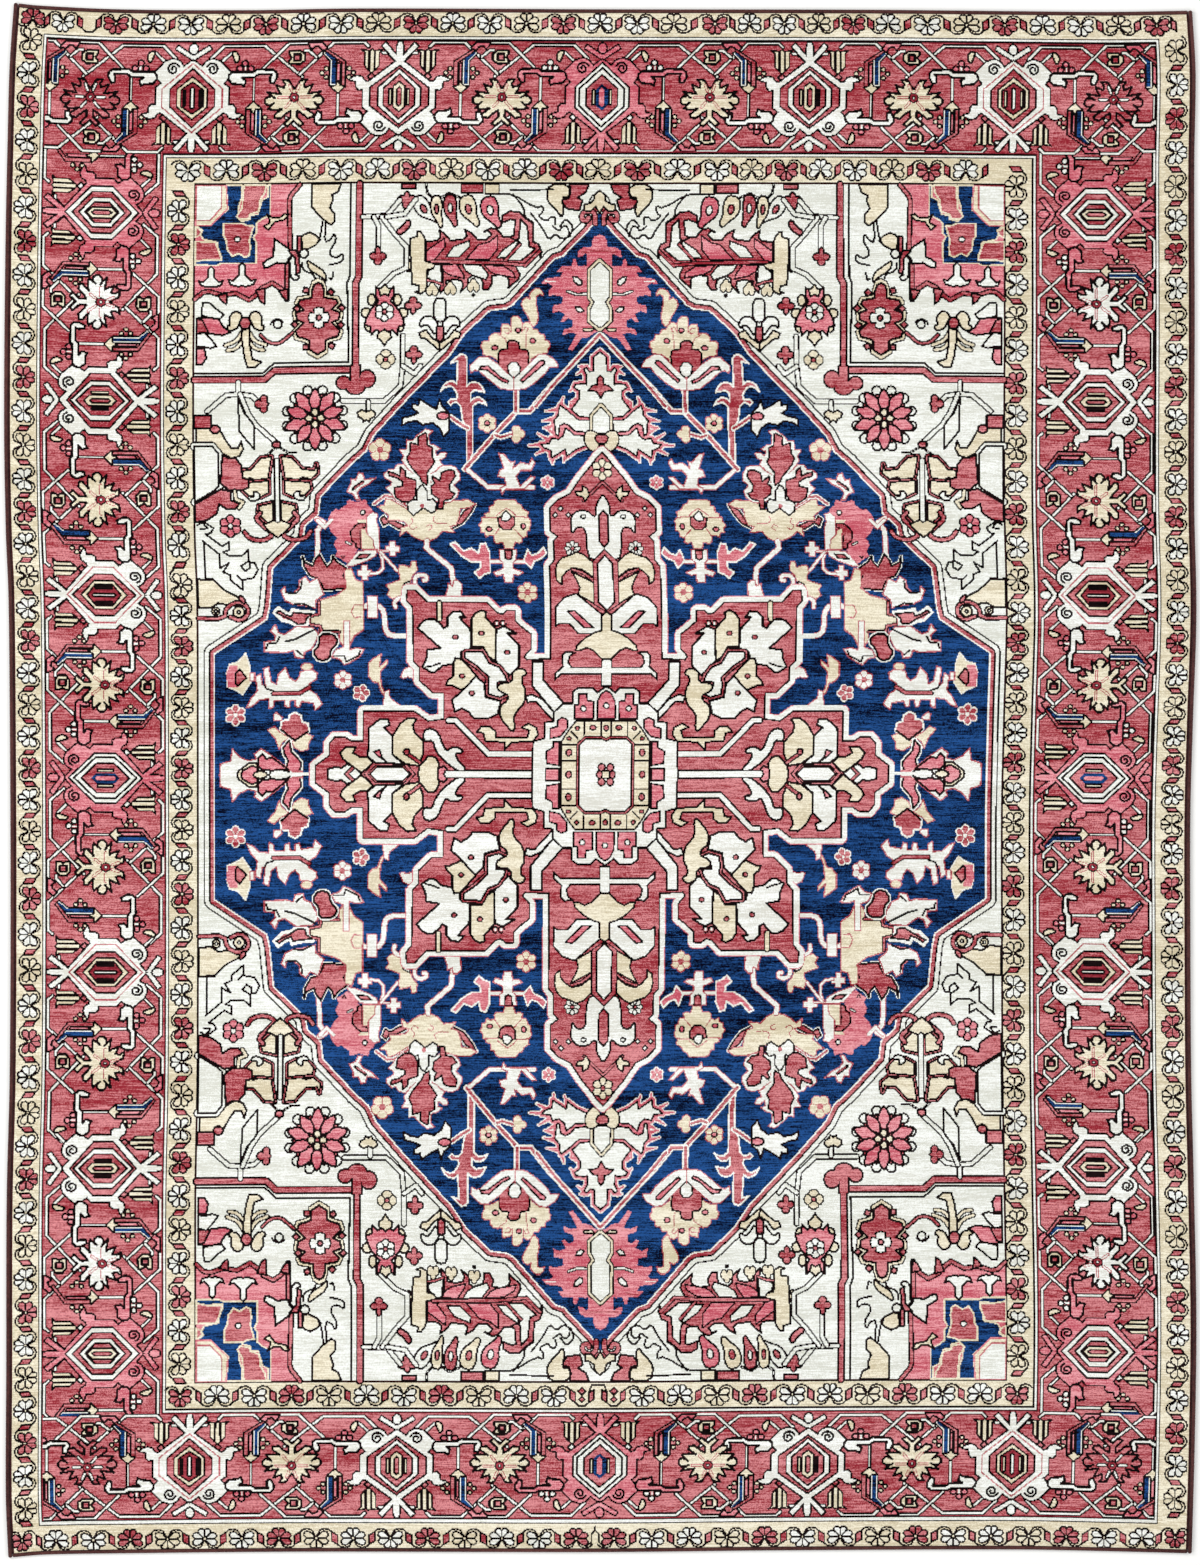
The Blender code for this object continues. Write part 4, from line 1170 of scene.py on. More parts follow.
def lobed_palmette(pen):
    """A big rose palmette of round lobes with a dark arc and a cream core, lying on its side."""
    pen.shape([(0, 37), (9, 26), (14.5, 21), (33, 20), (31, 26), (22, 31), (8, 36)], WHITE, RED, 0.9)
    rose = [(4, -29), (7, -30), (13, -27.7), (18, -29), (23, -30.5), (24, -25), (28, -22), (30, -18),
            (29, -12), (25, -8), (20, 6), (16, 16), (13, 20), (8, 29), (1.5, 33), (-4, 29), (-9.4, 26),
            (-7, 21), (-10, 15.5), (-9.4, 12), (-6.5, 8), (-12.5, 2), (-15.5, -5), (-15.5, -11),
            (-12.5, -17), (-8, -21), (-4, -20), (0, -23), (3.5, -25)]
    pen.fill(rose, ROSE)
    pen.shape([(11.4, -3.8), (16, -7), (23, -7), (23, -3), (17.5, -1.5), (16.3, 6), (16.8, 19), (12, 17.7),
               (12, 13.8), (7.5, 10.8), (6.8, 1.5)], RED, BLACK, 0.9)
    pen.fill([(13, -10), (23, -10.5), (23, -7.5), (15, -7.5)], CREAM)
    pen.shape([(23.7, -13.8), (29, -17.7), (34.5, -16), (33, -9), (35, -1.5), (35, 20), (30, 19), (23.7, 4),
               (23.7, -9)], WHITE, RED, 0.9)
    pen.shape([(17, -1.5), (22, -0.8), (23, 4), (29, 10), (30, 19), (17.5, 19)], CREAM, RED, 0.9)
    pen.shape([(11, 29), (16, 24.5), (26, 24), (22, 28)], RED, BLACK, 0.8)
    eye(pen, 19.5, -17.4, 2.2, 2.2, WHITE)
    pen.cord([(2.2, 12.3), (6.8, 14.6)], 0.9, WHITE, BLACK, 0.7)
    pen.line([(-3.5, 26), (-1.7, 28.5), (0, 26)], 0.6, BLACK)


def navy_side(pen):
    """Leaves, birds-head buds and stems in the navy, out towards the side of the medallion."""
    pen.cord(smooth([(404, 636), (388, 636), (382.5, 630), (382, 612), (376, 605), (361, 606), (355, 612)], 1,
                     closed=False), 4.2, WHITE, RED, 0.8)
    pen.cord([(427, 541), (426, 548), (450, 568), (452, 586)], 4.2, WHITE, RED, 0.8)
    pen.cord([(469, 470), (489, 487), (534, 487)], 3.6, WHITE, RED, 0.8)
    pen.cord([(317, 518), (324, 522), (318, 530), (317, 556)], 4.0, WHITE, RED, 0.8)
    pen.cord([(318, 520), (325, 527), (332, 520)], 3.0, WHITE, RED, 0.8)
    pen.shape([(442, 600), (446, 588), (446, 583), (451, 586), (452, 580), (456, 580), (460, 584),
               (459, 600)], WHITE, RED, 1.1)
    pen.shape([(500, 453), (505, 454), (512, 462), (516, 461), (514, 468), (522, 462), (530, 464),
               (533, 458), (536, 462), (532, 470), (522, 470), (517, 476), (521, 486), (532, 476),
               (536, 477), (526, 488), (506, 489), (503, 494), (501, 488), (507, 485), (506, 478),
               (499, 476), (501, 470), (505, 468)], WHITE, RED, 1.0)
    pen.shape([(348, 492), (352, 484), (352, 479), (357, 480), (360, 473), (364, 474), (366, 480), (377, 478),
               (370, 484), (362, 488), (358, 493), (361, 500), (357, 500), (354, 494)], WHITE, RED, 1.1)
    pen.line([(354, 489), (364, 482)], 2.6, BLACK)
    pen.line([(356, 488), (364, 483)], 1.2, RED)
    for x, y in ((363.5, 573), (392.5, 549)):
        union(pen.at(x, y), [box(-2.4, -7, 2.4, 7), box(-6.5, -2.4, 6.5, 2.4)], WHITE, RED, 0.9)
    union(pen, [box(365.5, 596.5, 374.5, 617.5)], WHITE, RED, 0.9)
    pen.cord([(379, 552), (382, 560), (382, 568), (377, 573), (369, 574)], 2.0, WHITE, RED, 0.8)
    pen.cord([(378, 551.5), (388, 551.5)], 1.0, WHITE, RED, 0.8)
    pen.cord([(380, 552), (396, 571)], 2.0, WHITE, RED, 0.8)
    pen.shape([(544, 295), (543, 291), (540, 288), (536, 288), (532, 291), (530, 295), (531, 299), (527, 297),
               (523, 300), (522, 304), (524, 309), (529, 317), (532, 325), (535, 326), (538, 322), (539, 315),
               (537, 304), (537, 296), (540, 294)], CREAM, RED, 1.0)


def navy_buds(pen):
    """The spiky red leaf and the white, cream and red buds below it, whose hooks look like birds' heads."""
    spiky = [(302, 556), (304, 562), (312, 566), (314, 560), (319, 554), (322, 560), (326, 567), (331, 562),
             (332, 556), (336, 562), (345, 568), (342, 576), (349, 588), (322, 590), (320, 584), (316, 578),
             (309, 576), (303, 566)]
    pen.shape(spiky, RED, WHITE, 3.4)
    pen.shape(spiky, RED, BLACK, 1.2)
    pen.shape([(279, 590), (283, 586), (284, 592), (292, 592), (297, 588), (298, 580), (304, 576),
               (308, 582), (316, 578), (320, 590), (322, 594), (314, 600), (313, 608), (301, 605),
               (291, 604), (283, 600)], WHITE, RED, 1.2)
    pen.line([(284, 592), (294, 593), (299, 588), (300, 581)], 1.1, BLACK)
    pen.line([(292, 604), (300, 603), (309, 607)], 1.1, BLACK)
    pen.shape([(317, 600), (335, 595), (344, 588), (343, 570), (350, 568), (354, 580), (361, 582), (361, 630),
               (352, 636), (347, 646), (342, 648), (337, 641), (337, 631), (317, 631), (317, 626), (307, 624),
               (306, 616), (317, 612)], CREAM, RED, 1.3)
    pen.cord([(317, 602), (317, 614), (307, 616), (307, 624), (318, 626), (319, 632), (337, 632)], 1.6, RED,
             BLACK, 0.8)
    for points in ([(349, 612), (352, 605), (360, 605)], [(349, 612), (352, 618), (358, 617)]):
        pen.line(points, 1.1, RED)
    pen.shape([(272, 612), (276, 607), (283, 612), (288, 614), (290, 609), (298, 611), (311, 612), (305, 618),
               (305, 624), (297, 626), (287, 621), (280, 620)], RED, WHITE, 3.2)
    pen.shape([(274, 612), (277, 610), (283, 614), (289, 616), (291, 612), (310, 614), (304, 618), (303, 623),
               (296, 624), (288, 619)], RED, BLACK, 1.0)
    dog = [(262, 651), (262, 641), (272, 640), (273, 635), (268, 630), (273, 624), (276, 632), (282, 634),
           (294, 626), (310, 627), (316, 633), (314, 640), (309, 649), (302, 652), (301, 658), (293, 657),
           (291, 650), (284, 652)]
    pen.shape(dog, WHITE, RED, 1.3)
    pen.line([(264, 648), (265, 643), (274, 642), (277, 636)], 1.1, BLACK)
    pen.line([(283, 641), (292, 639), (313, 629)], 1.3, BLACK)
    pen.line([(294, 650), (300, 655)], 1.1, BLACK)
    bean = smooth([(317, 634), (331, 634), (336, 642), (328, 650), (327, 659), (317, 661), (310, 652),
                   (317, 645)], 1)
    pen.line(bean, 4.6, WHITE, closed=True)
    pen.shape(bean, RED, BLACK, 1.4)
    pen.shape([(341, 621), (347, 621), (347, 650), (354, 648), (362, 649), (357, 657), (347, 663), (342, 665),
               (337, 659), (329, 657), (333, 650), (341, 647)], WHITE, RED, 1.1)
    pen.line([(332, 656), (342, 656), (344, 662), (356, 656), (358, 651)], 1.0, BLACK)


def navy_edge(pen):
    """The rose and cream bud, the long hooked leaf and what grows round them, by the medallion's edge."""
    pen.shape([(225, 686), (224, 672), (227, 663), (235, 661), (243, 652), (247, 664), (248, 682), (240, 694),
               (235, 690)], CREAM, WHITE, 1.0)
    pen.shape([(225, 686), (224, 672), (227, 664), (235, 664), (234, 676), (236, 686)], ROSE, None)
    pen.shape([(233, 672), (237, 668), (244, 677), (235, 685), (233, 682)], RED, BLACK, 1.2)
    pen.shape(box(247.5, 671.5, 252, 680), WHITE, RED, 1.0)
    boat = [(244, 707), (249, 697), (255, 690), (253, 676), (258, 673), (260, 684), (263, 685), (261, 668),
            (266, 666), (269, 681), (274, 684), (276, 674), (283, 667), (287, 677), (293, 681), (297, 676),
            (298, 671), (309, 669), (315, 673), (314, 679), (307, 683), (306, 689), (314, 694), (320, 704),
            (313, 710), (311, 703), (299, 701), (297, 707), (293, 706), (293, 700), (288, 700), (287, 707),
            (283, 706), (282, 700), (272, 700), (271, 706), (267, 708), (266, 698), (257, 699), (250, 705)]
    pen.shape(boat, WHITE, RED, 1.1)
    pen.shape(oval(304.5, 666.5, 6, 4, steps=10), CREAM, RED, 1.0)
    pen.cord([(271, 693), (297, 693), (307, 687)], 2.6, RED, BLACK, 0.9)
    pen.line([(262, 684), (264, 688), (271, 690)], 1.0, BLACK)
    for x, y, turn, petals, reach in ((359, 693, 20, 5, 8), (233, 714, 0, 6, 10)):
        flower(pen.at(x, y, turn), petals, reach, RED, WHITE, WHITE)
    pen.shape([(366, 676), (366, 663), (372, 658), (379, 654), (377, 667), (385, 660), (385, 664), (378, 672),
               (379, 685), (384, 697), (379, 692), (376, 683), (371, 682)], CREAM, RED, 1.1)
    crown = [(279, 729), (280, 721), (287, 720), (288, 715), (293, 713), (298, 716), (299, 722), (305, 724),
             (306, 731), (300, 735), (293, 740), (286, 735)]
    pen.line(crown, 3.6, WHITE, closed=True)
    pen.shape(crown, RED, None)
    pen.shape([(265, 729), (272, 726), (277, 731), (287, 737), (280, 742), (277, 749), (273, 738)], CREAM,
              RED, 1.0)
    pen.shape([(289, 741), (294, 740), (303, 733), (311, 736), (307, 742), (306, 749), (299, 751),
               (292, 747)], CREAM, RED, 1.0)
    pen.line(crown[8:] + crown[:1], 1.4, BLACK)
    pen.shape([(271, 714), (274, 712), (280, 717), (279, 720), (272, 720)], WHITE, RED, 1.0)
    horn = [(282, 753), (281, 747), (287, 740), (289, 751), (299, 762), (298, 770), (291, 773), (284, 767),
            (286, 760)]
    pen.line(horn, 4.6, WHITE, closed=True)
    pen.shape(horn, ROSE, BLACK, 1.2)


def side_palmette(pen):
    """The ivory palmette on the middle line at the side of the medallion, lying on its side."""
    pen.shape([(217, 776), (218, 763), (228, 760), (230, 748), (237, 756), (246, 760), (254, 758), (252, 753),
               (259, 748), (272, 757), (290, 771), (300, 771), (301, 776)], WHITE, RED, 1.2)
    pen.shape([(256, 765), (256, 757), (260, 753), (264, 758), (270, 757), (286, 769), (272, 770),
               (260, 769)], ROSE, BLACK, 1.3)
    pen.shape([(234, 776), (236, 770), (247, 762), (254, 762), (258, 776)], CREAM, BLACK, 1.2)
    pen.shape([(238, 776), (240, 770), (249, 765), (254, 766), (258, 776)], ROSE, BLACK, 1.2)
    pen.shape([(250, 776), (252, 772), (258, 770), (264, 772), (266, 776)], CREAM, BLACK, 1.2)
    pen.shape([(266, 776), (269, 770), (278, 769), (287, 771), (289, 776)], WHITE, BLACK, 1.2)
    pen.fill(box(287, 772.5, 316, 776), WHITE)


def axis_palmette(pen):
    """The ivory palmette between the crown and the red medallion: tiers of serrated leaves rimmed in rose."""
    pen.cord([(600, 334), (571, 366), (553, 386), (537, 406)], 2.6, RED, WHITE, 1.2)
    top = mirrored([(0, 350.5), (7, 356.5), (7, 370.5), (11, 371), (14.5, 367), (17, 369), (14, 375),
                    (14, 384), (17, 383), (25, 384), (26.5, 387), (21, 390.5), (21, 398), (24.5, 403),
                    (29, 409), (25, 412.5), (21, 416), (10, 417), (0, 417)])
    tiers = [[(8, 419), (22, 419), (31, 411.5), (40, 405), (41.5, 409), (42, 415), (46.5, 420), (45.5, 425),
              (44.5, 434), (42, 435), (40.5, 425), (36, 423), (31, 425), (26, 430.5), (16, 431.5),
              (8, 431.5)],
             [(12, 435), (26, 434.5), (30, 431), (35, 427.5), (37, 435), (42, 439), (48.7, 437.5), (51, 443),
              (59.5, 444), (56, 447.5), (49.5, 450), (48.7, 457.5), (35, 448.5), (33.7, 455.8), (24.5, 449),
              (12, 444)]]
    tips = [(15, 368, 24, 374), (17, 366, 22, 366), (25, 385, 31, 391), (24, 399, 31, 402),
            (29, 409, 30, 401), (40, 406, 37, 396), (43, 409, 55, 411), (46, 418, 58, 421),
            (46, 425, 57, 428), (44, 434, 56, 427), (49, 441, 63, 433), (55, 444, 72, 445),
            (53, 448, 65, 454), (47, 455, 48, 464), (34, 453, 37, 462)]
    pens = pen.both_sides(601.5)
    for grown, dye in ((7.6, WHITE), (5.6, ROSE)):
        pens[0].line(top, grown, dye, closed=True)
        for p in pens:
            for tier in tiers:
                p.line(tier, grown, dye, closed=True)
            for tip in tips:
                p.line(bar(*tip, 4.0, 0.8), grown - 5.4, dye, closed=True)
                p.fill(bar(*tip, 4.0, 0.8), dye)
    for p in pens:
        for tier in reversed(tiers):
            p.line(tier, 5.0, ROSE, closed=True)
            p.shape(tier, IVORY, BLACK, 0.9)
    p = pens[0]
    p.line(top, 5.0, ROSE, closed=True)
    p.shape(top, IVORY, BLACK, 0.9)
    p.shape(mirrored([(0, 374.5), (3.2, 378), (3.2, 384), (8, 385), (12.5, 390), (8, 390), (3.5, 391.5),
                      (0, 397.5)]), RED, BLACK, 0.9)
    bud = mirrored([(0, 404), (9.3, 415), (9.3, 434), (0, 434)])
    p.fill(bud, IVORY)
    p.line(bud, 3.7, BLACK, closed=True)
    p.line(bud, 1.9, CREAM, closed=True)
    bean = [(11, 429.5), (6, 430.5), (1, 434.5), (0, 438), (1, 446), (6, 451), (10.5, 449.5), (15.5, 443.5),
            (16.5, 436.5), (14.5, 431)]
    for q in pens:
        q.shape(smooth(bean, 1), CREAM, BLACK, 0.8)
    p.shape(smooth([(0, 433.5), (5.5, 435.5), (4.5, 441), (0, 444), (-4.5, 441), (-5.5, 435.5)], 1), RED,
            BLACK, 0.9)


# ------------------------------------------------------------------ red heart of the medallion
HEART = [(604, 452), (598, 458), (592, 466), (582, 478), (571, 494), (559, 500), (551, 508), (551, 530),
         (559, 536), (554, 541), (554, 560), (549, 566), (549, 659), (524, 660), (521, 656), (528, 648),
         (528, 634), (521, 629), (512, 621), (512, 611), (505, 611), (500, 615), (494, 613), (484, 603),
         (425, 603), (413, 591), (406, 591), (405, 600), (411, 607), (412, 661), (418, 667), (418, 680),
         (431, 692), (443, 692), (443, 719), (449, 719), (426, 722), (412, 712), (362, 712), (362, 742),
         (349, 742), (343, 738), (333, 738), (328, 744), (328, 756), (314, 766), (314, 778)]
# Points of that outline from the notch on, round the arm at the side. The arm is filled a second time, over a
# few black knots of the line by the notch.
HEART_ARM = 19


def heart_corner(pen):
    """The cream leaf, the white curls and the leaf points on the corner and the side of the red medallion."""
    pen.shape([(396.7, 572.5), (398.3, 565), (405, 565.8), (409, 567.5), (410.8, 560.8), (415, 561.7),
               (416, 570), (410.8, 576), (409, 582), (406, 592), (400, 595), (390, 599), (385, 595),
               (387.5, 590), (384, 585), (391.7, 582.5), (398.3, 580), (398.3, 575)], CREAM, RED, 0.9)
    pen.shape([(400, 592), (402, 584), (408, 581), (409, 590), (406, 598), (400, 597)], WHITE, BLACK, 0.7)
    for curl in ([(419, 594), (413, 585), (413.5, 577), (419, 574.5), (425, 576), (425.5, 580), (422, 580.5)],
                 [(407, 602), (402, 598), (396, 598), (392, 602), (393, 607)]):
        pen.cord(smooth(curl, 1, closed=False), 3.2, WHITE, RED, 0.8)
    for point in ([(411, 665), (401.7, 669), (398.3, 677), (401, 678.5), (406, 677), (411, 679), (418, 686)],
                  [(380, 714), (382.5, 692), (386.7, 690), (388, 698), (399, 706), (404, 714)]):
        pen.shape(point, WHITE, RED, 0.9)


def heart_ground(pen):
    """The red medallion inside the navy one, in its broad white line."""
    closed = HEART + [(610, 778), (610, 452)]
    arm = HEART[-HEART_ARM:] + [(362, 800), (460, 800), (452, 722)]
    notch = [(405, 606), (414, 606), (414, 664), (405, 662)]
    for width, dye in ((14.0, ROSE), (12.4, WHITE)):
        pen.line(notch, width - 11, dye, closed=True)
        pen.line(HEART, width, dye)
    pen.line(HEART, 2.3, BLACK)
    pen.fill(closed, RED)
    pen.fill(arm, RED)


def heart_top(pen):
    """Flowers, lilies and the long column on the middle line of the red medallion."""
    flower(pen.at(603.5, 469), 6, 10.5, CREAM, BLACK, RED, fat=0.9, width=0.9)
    pen.cord([(604, 481), (584, 500)], 1.4, RED, BLACK, 0.9)
    pen.shape([(576, 491), (583, 491), (583, 485), (588, 488), (590, 494), (586, 501), (583, 496),
               (578, 495)], CREAM, BLACK, 0.9)
    for x, y in ((561, 508), (555.5, 514.4), (568.5, 514.4)):
        pen.shape(both([(0, -2.6), (2.6, 0)]) + (x, y), WHITE, BLACK, 0.6)
    lily_curl = smooth([(571, 526), (571, 516), (578, 510), (588, 510), (594, 516), (597, 514), (596, 505),
                        (604, 492), (612, 505), (612, 560), (590, 560), (586, 548), (586, 528), (577, 526),
                        (572, 534)], 1)
    pen.shape(lily_curl, WHITE, BLACK, 1.1)
    pen.shape(oval(583.5, 516, 2.6, 2.0, steps=10), IVORY, BLACK, 0.6)
    flower(pen.at(572, 548), 8, 7.5, WHITE, BLACK, RED, fat=0.9, width=0.7)
    pen.shape(both([(0, -19), (5.5, -13)]) + (604.5, 528), RED, BLACK, 1.1)
    pen.shape([(554, 570.5), (556, 563), (561.5, 557), (569, 555), (576.4, 551.4), (583, 554), (592, 562),
               (592, 577), (581, 569), (571.4, 567), (565, 571), (560, 577), (560, 584), (555, 580)], CREAM,
              BLACK, 0.9)
    pen.shape([(570, 571), (592, 582), (592, 603), (583, 598), (576, 594), (578, 587), (574.7, 579)], CREAM,
              BLACK, 0.9)
    pen.cord([(571, 569), (581, 572), (592, 580)], 1.6, RED, BLACK, 0.8)
    pen.shape([(553, 626), (553, 607), (562, 597), (574, 593), (596, 611), (600, 614), (600, 631), (590, 633),
               (576, 633), (567, 623), (557, 623)], WHITE, BLACK, 1.0)
    pen.shape([(565, 611), (572, 610), (591, 627), (582, 627)], ROSE, BLACK, 0.9)
    column = mirrored([(0, -62), (12.5, -50), (12.5, -8), (0, 0)]) + (604.5, 611)
    pen.line(column, 1.6, BLACK, closed=True)
    pen.fill(column, RED)
    pen.shape(mirrored([(0, -57), (8, -48), (8, -9), (0, -1)]) + (604.5, 611), WHITE, BLACK, 1.0)
    pen.shape(mirrored([(0, 611), (5, 615), (5, 630), (12, 632), (21, 637), (30, 645), (31, 650), (27, 650),
                        (20, 647), (13, 650), (5, 658), (0, 658)]) + (604.5, 0), CREAM, BLACK, 1.0)
    bracket_band = [(553, 679), (553, 673), (559, 668), (561, 666), (560, 655), (564, 651), (573, 652),
                    (568, 655), (566, 662), (570, 667), (600, 667), (600, 659), (608, 659), (608, 685),
                    (600, 685), (600, 673), (560, 673)]
    pen.shape(bracket_band, WHITE, BLACK, 1.0)
    pen.fill(box(600.5, 660, 608, 684), WHITE)


def arm_flower(pen):
    """The big many-petalled flower that fills the slanting arm."""
    pen.cord([(437, 603), (437, 619)], 3.4, CREAM, BLACK, 1.1)
    for points, dye in (
            ([(415, 628), (421, 621), (426, 619), (432, 619), (438, 624), (441, 628), (445, 626), (445, 617),
              (450, 612), (458, 611), (463, 617), (457, 617), (461, 622), (468, 629), (469, 648), (459, 652),
              (458, 659), (450, 664), (440, 666), (433, 672), (428, 672), (420, 667), (424, 659), (425, 650),
              (438, 648), (430, 641)], WHITE),
            ([(493, 660), (494, 629), (502, 626), (514, 633), (505, 633), (517, 645), (517, 666), (508, 675),
              (499, 668)], WHITE),
            ([(469, 647), (469, 619), (473, 613), (479, 610), (484, 612), (483, 617), (494, 629), (493, 661),
              (486, 656), (481, 647)], CREAM),
            ([(451, 665), (453, 658), (459, 659), (466, 666), (475, 676), (468, 684), (460, 690), (449, 685),
              (444, 685), (446, 680), (451, 676)], CREAM),
            ([(474, 676), (482, 683), (484, 697), (499, 701), (496, 714), (487, 718), (472, 718), (467, 712),
              (460, 708), (453, 712), (450, 700), (461, 690)], WHITE)):
        pen.shape(points, dye, BLACK, 1.4)
    core = [(463, 652), (480, 651), (487, 663), (497, 667), (503, 675), (505, 681), (495, 682), (496, 688),
            (505, 694), (498, 697), (487, 694), (486, 684), (487, 677), (475, 666), (463, 658)]
    pen.line(core, 6.4, BLACK, closed=True)
    pen.line(core, 4.0, RED, closed=True)
    pen.shape(core, WHITE, BLACK, 1.2)
    pen.shape(smooth([(510, 682), (510, 672), (516, 668), (523, 669), (525, 674), (520, 676), (520, 683),
                      (524, 689), (523, 703), (515, 711), (512, 718), (514, 727), (511, 732), (505, 725),
                      (499, 718), (498, 706), (506, 700), (507, 695), (498, 691), (495, 687), (498, 683)],
                     1), CREAM, BLACK, 1.3)
    for x, y in ((479, 633), (460, 676), (470, 693), (505, 652), (453, 637)):
        eye(pen, x, y, 2.4, 2.0, RED)
    for x in (494.5, 500.5):
        pen.line(oval(x, 623, 2.8, 3, 0, 300), 1.1, BLACK)
        pen.fill(oval(x, 623, 1.4), WHITE)
    pen.line([(424, 667), (430, 666), (438, 663)], 1.0, BLACK)
    pen.shape([(475, 732), (480, 726), (488, 726), (494, 731), (494, 737), (526, 737), (528, 730), (520, 727),
               (527, 723), (535, 727), (537, 734), (532, 741), (511, 742), (503, 750), (503, 742), (484, 741),
               (482, 733)], CREAM, BLACK, 1.2)
    # white bands that tie the arm to the middle
    pen.shape([(530, 661), (541, 661), (541, 679), (562, 702), (574, 702), (574, 722), (552, 722), (552, 711),
               (530, 685)], WHITE, BLACK, 1.4)
    pen.shape([(524, 696), (530, 694), (541, 699), (552, 711), (552, 720), (534, 701), (526, 702)], WHITE,
              BLACK, 1.2)


def side_arm(pen):
    """What fills the long arm on the middle line: nested almonds, cream palmette leaves and curls."""
    pen.cord([(447, 720.5), (454, 720.5), (487, 753.5), (533, 753.5)], 4.2, WHITE, BLACK, 1.3)
    pen.shape([(364, 778), (375, 767), (401, 767), (412, 778)], WHITE, BLACK, 0.8)
    rim = [(360.5, 778), (373, 763.8), (403, 763.8), (415.5, 778)]
    pen.cord(rim, 1.8, RED, BLACK, 0.8)
    pen.shape([(326, 778), (326, 769), (334, 767), (340, 768), (345, 764), (352, 767), (360, 774),
               (361, 778)], WHITE, BLACK, 1.3)
    pen.cord([(351, 768), (343, 775.5)], 1.8, RED, BLACK, 0.9)
    pen.shape([(338, 753), (344, 747), (354, 747), (351, 753), (358, 757), (366, 757), (371, 763), (360, 773),
               (350, 766), (341, 759)], CREAM, BLACK, 1.3)
    pen.shape([(366, 757), (367, 728), (378, 719), (386, 719), (388, 725), (382, 728), (391, 736), (391, 755),
               (402, 764), (374, 763)], WHITE, BLACK, 1.3)
    pen.shape([(372, 752), (378, 750), (380, 757), (385, 762), (376, 756)], ROSE, BLACK, 1.1)
    pen.shape([(391, 755), (391, 736), (398, 724), (406, 718), (415, 719), (411, 725), (413, 733), (422, 742),
               (422, 753), (417, 766), (404, 764)], CREAM, BLACK, 1.3)
    pen.cord([(404, 753), (412, 758), (420, 764)], 2.2, RED, BLACK, 1.0)
    pen.shape(oval(405, 752, 3, 3.2), RED, BLACK, 1.2)
    pen.shape(smooth([(421, 737), (423, 730), (430, 728), (437, 733), (441, 744), (445, 751), (450, 747),
                      (460, 748), (462, 753), (454, 753), (456, 760), (466, 770), (458, 772), (444, 762),
                      (434, 751), (431, 740), (424, 742)], 1), WHITE, BLACK, 1.3)
    pen.shape([(416, 778), (418, 766), (427, 756), (434, 757), (438, 764), (436, 778)], CREAM, BLACK, 1.3)
    pen.shape([(436, 778), (437, 768), (443, 766), (446, 770), (441, 776)], ROSE, BLACK, 1.2)
    pen.shape([(441, 778), (444, 770.6), (536, 770), (541, 778)], WHITE, BLACK, 0.9)


def middle(pen):
    """The white square with its red line, its tiles and the rose lobes round it."""
    pen.shape([(531, 778), (532, 741), (543, 738), (543, 722), (552, 721), (552, 712), (562, 703),
               (571, 703), (571, 691), (577, 687), (591, 687), (596, 692), (604, 686), (610, 686),
               (610, 778)], WHITE, BLACK, 1.1)
    for points in (
            [(577, 693), (585, 693), (586, 700), (592, 701), (592, 718), (573, 718), (573, 704), (577, 704)],
            [(549, 728), (556, 726), (556, 720), (561, 717), (566, 719), (566, 728), (559, 736), (549, 738)],
            [(552, 741), (558.5, 741), (558.5, 765), (546, 763), (545, 751), (552, 747)],
            [(545, 768), (558.5, 768), (558.5, 780), (545, 780)],
            mirrored([(0, 690), (5, 693), (9, 701), (9, 718), (0, 718)]) + (605, 0)):
        pen.shape(points, ROSE, BLACK, 0.9)
    eye(pen, 582, 708, 2.5, 2.5, WHITE)
    eye(pen, 605, 705, 2.5, 2.5, WHITE)
    pen.shape([(560.5, 790), (560.5, 741), (568, 729), (575, 720.3), (610, 720.3), (610, 790)], CREAM, BLACK,
              0.9)
    for cut in (
            [(583, 720), (583, 734)], [(600, 720), (600, 735)], [(560, 744), (577, 744)],
            [(560, 760), (577, 760)], [(570, 731), (577, 738)]):
        pen.line(cut, 0.8, BLACK)
    for x, y, across, along in ((592, 727, 3.0, 2.0), (605.3, 727.5, 2.2, 2.6), (576.3, 727.5, 1.8, 1.8),
                                (568, 738, 2.0, 1.5), (568, 752, 2.6, 3.4), (568, 774, 2.6, 3.2)):
        eye(pen, x, y, across, along, RED)
    inner = [(578.5, 800), (578.5, 744), (585, 738), (600, 738), (605.5, 740.5), (612, 740.5), (612, 800)]
    pen.line(inner, 5.2, BLACK)
    pen.line(inner, 3.6, RED)
    pen.shape(inner, WHITE, BLACK, 0.7)
    for x, y, across, along in ((601, 766.8, 3.6, 3.8), (598.9, 774, 3.0, 3.6)):
        pen.shape(oval(x, y, across, along), RED, BLACK, 0.7)
    pen.shape(box(601.8, 770.3, 609.5, 778), CREAM, BLACK, 0.7)


